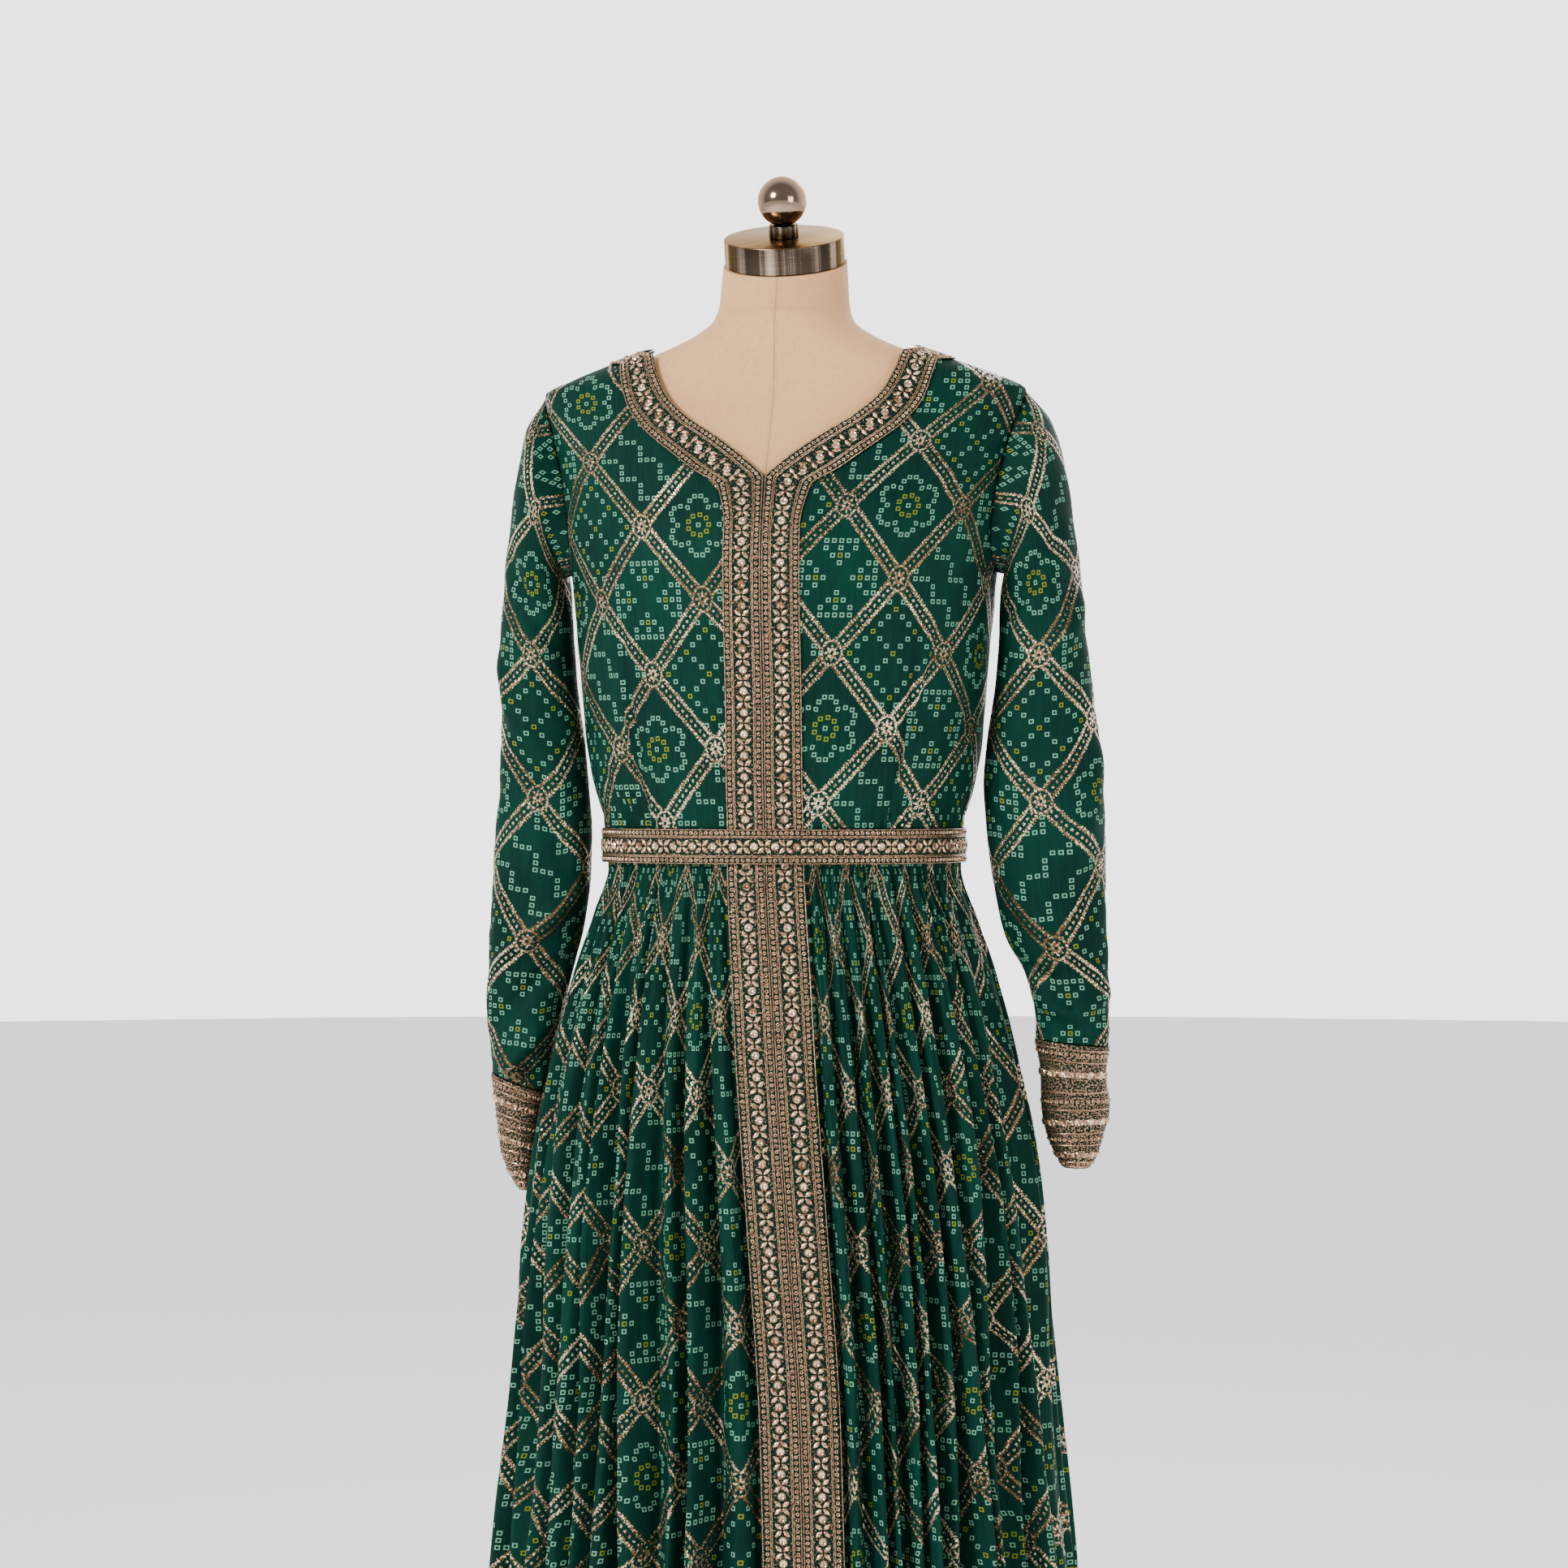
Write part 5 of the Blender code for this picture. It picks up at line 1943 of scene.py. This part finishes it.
@dataclass
class Belt:
    """The straight embroidered band at the waist."""

    finishes: Finishes
    embroidery: Embroidery
    foot: float = BELT_FOOT_Z
    top: float = 1.0305
    rows: int = 15
    columns: int = 240
    clearance: float = 0.002

    def build(self) -> None:
        """Build the band and sew its trim."""
        z = np.linspace(self.foot, self.top, self.rows)[:, None]
        turn = np.linspace(-math.pi, math.pi, self.columns + 1)[None, :]
        section = SKIRT(z) + CLOTH_WALL + self.clearance + TRIM + LAY_GAP
        points = around(section, np.broadcast_to(turn, (self.rows, self.columns + 1)), z)
        points[:, -1] = points[:, 0]
        steps = np.linalg.norm(np.diff(points[self.rows // 2], axis=0), axis=1)
        run = np.concatenate([[0.0], np.cumsum(steps)])
        uv = np.stack(np.broadcast_arrays(run[None, :], z), axis=-1)
        item = cloth_object("belt_band", points, uv, self.finishes.trim, BELT_WALL, wrap=True)
        settle(item, Slot.TRIM, "belt")
        band = np.transpose(points, (1, 0, 2))
        self.embroidery.dress_strip("belt", Strip.of(band, -1.0))


class CuffRow(Enum):
    """What is sewn along one ring of a cuff."""

    CORD = "cord"
    BEADS = "beads"
    FLOWERS = "flowers"


# What is sewn on a cuff, and at which shares of its depth from the top
CUFF_ROWS = {
    CuffRow.CORD: (0.03, 0.13, 0.31, 0.41, 0.59, 0.69, 0.89, 0.97),
    CuffRow.BEADS: (0.08, 0.36, 0.64, 0.93),
    CuffRow.FLOWERS: (0.22, 0.5, 0.79),
}


@dataclass
class Sleeves:
    """Two empty sleeves hanging from the armholes, with embroidered cuffs."""

    finishes: Finishes
    embroidery: Embroidery
    bodice: Bodice
    around_count: int = 92
    rows: int = 156
    cuff_rows: int = 60
    girth: float = 0.205
    crease_gain: float = 1.8
    ripple_height: float = 0.0017
    cord_pitch: float = 0.0024
    cord_radius: float = 0.0006
    flower_pitch: float = 0.0105

    def armhole(self) -> Array:
        """The armhole's edge from the shoulder tip round by the front, on the wearer's left.

        Returns:
            A closed loop of points, just inside the bodice's edge.
        """
        half = self.around_count // 2
        levels = np.linspace(TOP_ROW, UNDERARM_ROW, half + 1)
        last = np.array((2.0,))
        curves = [self.bodice.front_curve(float(level), last) for level in levels]
        front = np.array([curve[0][0] for curve in curves])
        side_z = ROWS(levels)[:, 1]
        turn = np.minimum(np.radians(ROWS(levels)[:, 3]), seam_angle(BODICE(side_z), 2))
        back = around(BODICE(side_z), math.pi - turn, side_z)[::-1]
        loop = np.concatenate([front, back[1:]])
        loop[0, 1] = 0.0
        loop[half, 1] = 0.0
        loop[-1] = loop[0]
        inwards = loop[:-1].mean(axis=0) - loop
        inwards[:, 0] = 0.0
        inwards /= np.linalg.norm(inwards, axis=1, keepdims=True)
        shifted = loop + inwards * 0.0007
        shifted[:, 0] += 0.0003
        return shifted

    def ring(self, row: Sequence[float]) -> Array:
        """An oval ring between an outer and an inner point.

        Args:
            row: a row of the sleeve's or the cuff's table.

        Returns:
            A closed loop of points, from the outer one round by the front.
        """
        outer_x, outer_z, inner_x, inner_z, depth, middle = row
        turn = np.linspace(0.0, 2.0 * math.pi, self.around_count + 1)
        swing = np.cos(turn)
        x = (outer_x + inner_x) * 0.5 + (outer_x - inner_x) * 0.5 * swing
        z = (outer_z + inner_z) * 0.5 + (outer_z - inner_z) * 0.5 * swing
        y = middle - depth * np.sin(turn)
        x = np.where(z < UNDERARM_Z, np.maximum(x, gown_reach(y, z) + SLEEVE_CLEAR), x)
        return np.stack([x, y, z], axis=-1)

    def tube(
        self, rings: Sequence[Array], rows: int
    ) -> tuple[Array, Array, Array]:
        """A smooth tube through rings.

        Args:
            rings: rings of points, all with the same count.
            rows: number of rows of the tube.

        Returns:
            The points, the distance round and the distance along.
        """
        table = Table([(index, *ring.ravel()) for index, ring in enumerate(rings)])
        levels = np.linspace(0.0, len(rings) - 1.0, rows)
        points = table(levels).reshape(rows, self.around_count + 1, 3)
        steps = np.linalg.norm(np.diff(points, axis=0), axis=2).mean(axis=1)
        along = np.concatenate([[0.0], np.cumsum(steps)])[:, None]
        share = np.linspace(0.0, 1.0, self.around_count + 1)[None, :]
        return points, share * self.girth, np.broadcast_to(along, (rows, self.around_count + 1))

    def build(self) -> None:
        """Build both sleeves and both cuffs."""
        start = self.armhole()
        for side in Side:
            left = side is Side.LEFT
            rows = SLEEVE_LEFT if left else SLEEVE_RIGHT
            points, u, v = self.tube([start] + [self.ring(row) for row in rows], self.rows)
            push = self.crease_gain * add_creases(SLEEVE_CREASES[side], u, v)
            push = push + self.ripple_height * ripple(u, v, 0.055, 4.0 * side.value)
            ends = np.clip(np.minimum(v / 0.05, (v.max() - v) / 0.012), 0.0, 1.0)
            inner = 1.0 - 0.85 * np.exp(-(((u - self.girth * 0.5) / 0.026) ** 2))
            normal = -grid_normals(points, wrap=True)
            points = points + normal * (push * ends * inner)[..., None]
            points[:, -1] = points[:, 0]
            self.place_tube("sleeve_" + side.word, points, side, self.finishes.cloth)
            rows = CUFF_LEFT if left else CUFF_RIGHT
            points, _, _ = self.tube([self.ring(row) for row in rows], self.cuff_rows)
            self.place_tube("cuff_" + side.word, points, side, self.finishes.cuff)
            self.sew_cuff("cuff_" + side.word, points, side)

    def place_tube(
        self, name: str, points: Array, side: Side, material: Material
    ) -> None:
        """Make a tube's object, on its own side and facing outwards, with its seam inside.

        Args:
            name: the solid that it stands for.
            points: rows of points on the wearer's left.
            side: the wearer's side.
            material: its finish.
        """
        half = self.around_count // 2
        points = np.roll(points[:, :-1], half, axis=1)
        points = np.concatenate([points, points[:, :1]], axis=1)
        girth = np.linalg.norm(np.diff(points, axis=1), axis=2).sum(axis=1)[:, None]
        share = np.linspace(0.0, 1.0, self.around_count + 1)[None, :]
        steps = np.linalg.norm(np.diff(points, axis=0), axis=2)
        gone = np.concatenate([np.zeros((1, steps.shape[1])), np.cumsum(steps, axis=0)])
        upward = points[-1:, :, 2] + gone[-1:] - gone
        uv = np.stack([(share - 0.75) * girth, upward], axis=-1)
        if side is Side.LEFT:
            points = points[:, ::-1]
            uv = uv[:, ::-1]
        else:
            points = points * MIRROR
        item = cloth_object(name + "_cloth", points[:, ::-1], uv[:, ::-1], material, wrap=True)
        slot = Slot.TRIM if name.startswith("cuff") else Slot.CLOTH
        settle(item, slot, name)

    def sew_cuff(self, name: str, points: Array, side: Side) -> None:
        """Sew rings of beads, cords and sequins round a cuff.

        Args:
            name: first part of the pieces' names.
            points: rows of points on the wearer's left.
            side: the wearer's side.
        """
        if side is Side.RIGHT:
            points = points * MIRROR
        outward = -1.0 if side is Side.LEFT else 1.0
        beads = []
        sequins = []
        leaves = []
        cords = []
        count = len(points) - 1
        for kind, share in ((kind, share) for kind, shares in CUFF_ROWS.items() for share in shares):
            row = int(share * count)
            low = max(row - 2, 0)
            band = np.transpose(points[low:low + 5], (1, 0, 2))
            strip = Strip.of(band, outward)
            length = strip.length
            if kind is CuffRow.BEADS:
                number = int(length / self.embroidery.bead_pitch)
                for index in range(number):
                    beads.append(strip.place((index + 0.5) * length / number, 0.5, 0.0003))
            elif kind is CuffRow.CORD:
                spots = np.linspace(0.0, length, int(length / self.cord_pitch))
                cords.append([strip.place(float(spot), 0.5, 0.0002) for spot in spots])
            else:
                number = max(3, int(length / self.flower_pitch))
                for index in range(number):
                    middle = (index + 0.25) * length / number
                    sequins.append(strip.place(middle, 0.5, 0.0003))
                    for turn in (-0.7, 0.7):
                        place = strip.place(middle + 0.5 * length / number, 0.5, 0.0003)
                        leaves.append(place @ Matrix.Rotation(turn, 4, "Z"))
        self.embroidery.scatter(name, Ornament.BEAD, beads)
        self.embroidery.scatter(name, Ornament.SEQUIN, sequins)
        self.embroidery.scatter(name, Ornament.LEAF, leaves)
        self.embroidery.cord(name, cords, self.cord_radius)


@dataclass
class DressForm:
    """The linen torso with its steel cap and ball, and the stand."""

    finishes: Finishes
    columns: int = 96
    levels: int = 104
    cap: tuple[float, float] = (0.049, 0.022)
    collar: tuple[float, float] = (0.012, 0.01)
    collar_middle: float = 0.0053
    ball_radius: float = 0.02
    ball_flat: float = 0.0185
    ball_middle: float = 0.0291
    pole: tuple[float, float] = (0.0125, 0.7474)
    pole_middle: float = 0.386
    base: tuple[float, float] = (0.15, 0.012)

    def torso(self) -> None:
        """Build the linen torso, closed and smooth."""
        turn = np.linspace(0.0, 2.0 * math.pi, self.columns, endpoint=False)
        rings = []
        for row in FORM_SECTIONS:
            section = np.array(row[1:])
            rings.append(around(section, turn, np.full(self.columns, row[0])))
        for height, middle, radius, tilt in NECK_RINGS:
            lean = math.radians(tilt)
            ahead = radius * np.cos(turn)
            y = middle - ahead * math.cos(lean)
            z = height - ahead * math.sin(lean)
            rings.append(np.stack([radius * np.sin(turn), y, z], axis=-1))
        table = Table([(index, *ring.ravel()) for index, ring in enumerate(rings)])
        levels = np.linspace(0.0, len(rings) - 1.0, self.levels)
        points = table(levels).reshape(len(levels), self.columns, 3)
        points = np.concatenate([points, points[:, :1]], axis=1)
        uv = np.zeros(points.shape[:2] + (2,))
        item = cloth_object("form_linen_torso", points, uv, self.finishes.linen, 0.0, wrap=True)
        mesh = bmesh.new()
        mesh.from_mesh(item.data)
        rims = [edge for edge in mesh.edges if edge.is_boundary]
        bmesh.ops.holes_fill(mesh, edges=rims, sides=self.columns)
        mesh.to_mesh(item.data)
        mesh.free()
        item.data.shade_smooth()
        item.data.set_sharp_from_angle(angle=math.radians(50.0))
        settle(item, Slot.LINEN, "form_torso")

    def tilted(self, height: float) -> Matrix:
        """Matrix of the cap's tilted axis at a height above its top face."""
        offset = Vector((0.0, -math.sin(CAP_TILT), math.cos(CAP_TILT))) * height
        return Matrix.Translation(CAP_TOP + offset) @ Matrix.Rotation(CAP_TILT, 4, "X")

    def round_piece(
        self,
        name: str,
        node: str,
        size: tuple[float, float],
        place: Matrix,
        edge: float,
        slot: Slot,
    ) -> None:
        """Build a turned round piece with rounded rims.

        Args:
            name: name of the piece.
            node: the solid that it stands for.
            size: radius and height.
            place: its middle and axis.
            edge: radius of its rims.
            slot: its material slot, steel or painted.
        """
        radius, height = size
        material = self.finishes.cap if slot is Slot.STEEL else self.finishes.stand
        mesh = bmesh.new()
        bmesh.ops.create_cone(
            mesh, cap_ends=True, segments=96, radius1=radius, radius2=radius, depth=height
        )
        rims = [item for item in mesh.edges if abs(item.verts[0].co.z - item.verts[1].co.z) < 1e-6]
        bmesh.ops.bevel(
            mesh, geom=rims, offset=edge, segments=3, profile=0.5, affect="EDGES", material=-1
        )
        bmesh.ops.transform(mesh, matrix=place, verts=mesh.verts)
        settle(solid_object(name, mesh, material), slot, node)

    def build(self) -> None:
        """Build the torso, cap, collar, ball, pole and base."""
        self.torso()
        place = self.tilted(-self.cap[1] * 0.5)
        self.round_piece("cap_steel_disc", "neck_cap", self.cap, place, 0.0008, Slot.STEEL)
        place = self.tilted(self.collar_middle)
        self.round_piece("collar_steel", "finial_collar", self.collar, place, 0.0006, Slot.STEEL)
        self.ball()
        place = Matrix.Translation((0.0, 0.0, self.pole_middle))
        self.round_piece("pole_tube", "stand_pole", self.pole, place, 0.0008, Slot.STAND)
        place = Matrix.Translation((0.0, 0.0, self.base[1] * 0.5))
        self.round_piece("base_plate", "stand_base", self.base, place, 0.002, Slot.STAND)

    def ball(self) -> None:
        """Build the ball, cut flat where it meets the collar."""
        sides = 64
        mesh = bmesh.new()
        bmesh.ops.create_uvsphere(mesh, u_segments=sides, v_segments=40, radius=self.ball_radius)
        cut = bmesh.ops.bisect_plane(
            mesh,
            geom=mesh.verts[:] + mesh.edges[:] + mesh.faces[:],
            plane_co=(0.0, 0.0, -self.ball_flat),
            plane_no=(0.0, 0.0, -1.0),
            clear_outer=True,
        )
        rim = [item for item in cut["geom_cut"] if isinstance(item, bmesh.types.BMEdge)]
        bmesh.ops.holes_fill(mesh, edges=rim, sides=sides)
        bmesh.ops.transform(mesh, matrix=self.tilted(self.ball_middle), verts=mesh.verts)
        settle(solid_object("ball_steel", mesh, self.finishes.ball), Slot.STEEL, "finial_ball")


@dataclass
class Studio:
    """Pale floor, soft lights and the camera at the picture's angle."""

    distance: float = 3.0
    azimuth: float = 8.0
    aim: tuple[float, float, float] = (0.0, 0.0, 1.066)
    frame_width: float = 1.275
    sensor: float = 36.0
    lights_aim: tuple[float, float, float] = (0.0, 0.0, 1.05)
    glow_range: tuple[float, float] = (-0.2, 0.9)
    glow_strength: tuple[float, float] = (0.42, 3.2)

    def floor(self) -> None:
        """Lay the floor."""
        mesh = bmesh.new()
        bmesh.ops.create_circle(mesh, cap_ends=True, segments=64, radius=14.0)
        graph = Graph("studio_floor")
        x, y, _ = graph.object_place()
        grain = graph.noise(x * 60.0, y * 60.0, detail=3.0)
        colour = graph.mix(grain, (0.93, 0.93, 0.93), (0.95, 0.95, 0.95))
        graph.shader.inputs["Emission Color"].default_value = (1.0, 1.0, 1.0, 1.0)
        graph.shader.inputs["Emission Strength"].default_value = 0.2
        item = solid_object("studio_floor", mesh, graph.finish(colour, 0.7))

    def light(
        self, name: str, place: tuple[float, float, float], size: float, power: float
    ) -> None:
        """Hang one soft square light that looks at the gown.

        Args:
            name: name of the light.
            place: where it hangs.
            size: length of its side.
            power: its power in watts.
        """
        data = bpy.data.lights.new(name, "AREA")
        data.size = size
        data.energy = power
        item = bpy.data.objects.new(name, data)
        bpy.context.collection.objects.link(item)
        item.location = place
        aim = Vector(self.lights_aim) - Vector(place)
        item.rotation_euler = aim.to_track_quat("-Z", "Y").to_euler()

    def build(self) -> None:
        """Build the floor, world, lights and camera."""
        self.floor()
        world = bpy.data.worlds.new("studio_world")
        world.use_nodes = True
        nodes = world.node_tree.nodes
        links = world.node_tree.links
        place = nodes.new("ShaderNodeTexCoord")
        split = nodes.new("ShaderNodeSeparateXYZ")
        links.new(place.outputs["Generated"], split.inputs[0])
        glow = nodes.new("ShaderNodeMapRange")
        glow.inputs["From Min"].default_value, glow.inputs["From Max"].default_value = self.glow_range
        glow.inputs["To Min"].default_value, glow.inputs["To Max"].default_value = self.glow_strength
        links.new(split.outputs[1], glow.inputs["Value"])
        links.new(glow.outputs["Result"], nodes["Background"].inputs[1])
        nodes["Background"].inputs[0].default_value = (0.96, 0.96, 0.96, 1.0)
        bpy.context.scene.world = world
        for light in LIGHTS:
            self.light(*light)
        data = bpy.data.cameras.new("camera")
        data.lens = self.sensor * self.distance / self.frame_width
        data.sensor_width = self.sensor
        camera = bpy.data.objects.new("camera", data)
        bpy.context.collection.objects.link(camera)
        turn = math.radians(self.azimuth)
        offset = Vector((math.sin(turn), -math.cos(turn), 0.0)) * self.distance
        camera.location = Vector(self.aim) + offset
        camera.rotation_euler = (-offset).to_track_quat("-Z", "Y").to_euler()
        bpy.context.scene.camera = camera


def main() -> None:
    """Load the frame and build every piece around it."""
    logging.basicConfig(level=logging.INFO, format="%(name)s %(message)s")
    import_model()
    finishes = Finishes.build()
    embroidery = Embroidery(finishes)
    bodice = Bodice(finishes, embroidery)
    DressForm(finishes).build()
    bodice.build()
    Belt(finishes, embroidery).build()
    Skirt(finishes, embroidery).build()
    Sleeves(finishes, embroidery, bodice).build()
    Studio().build()


if __name__ == "__main__":
    main()
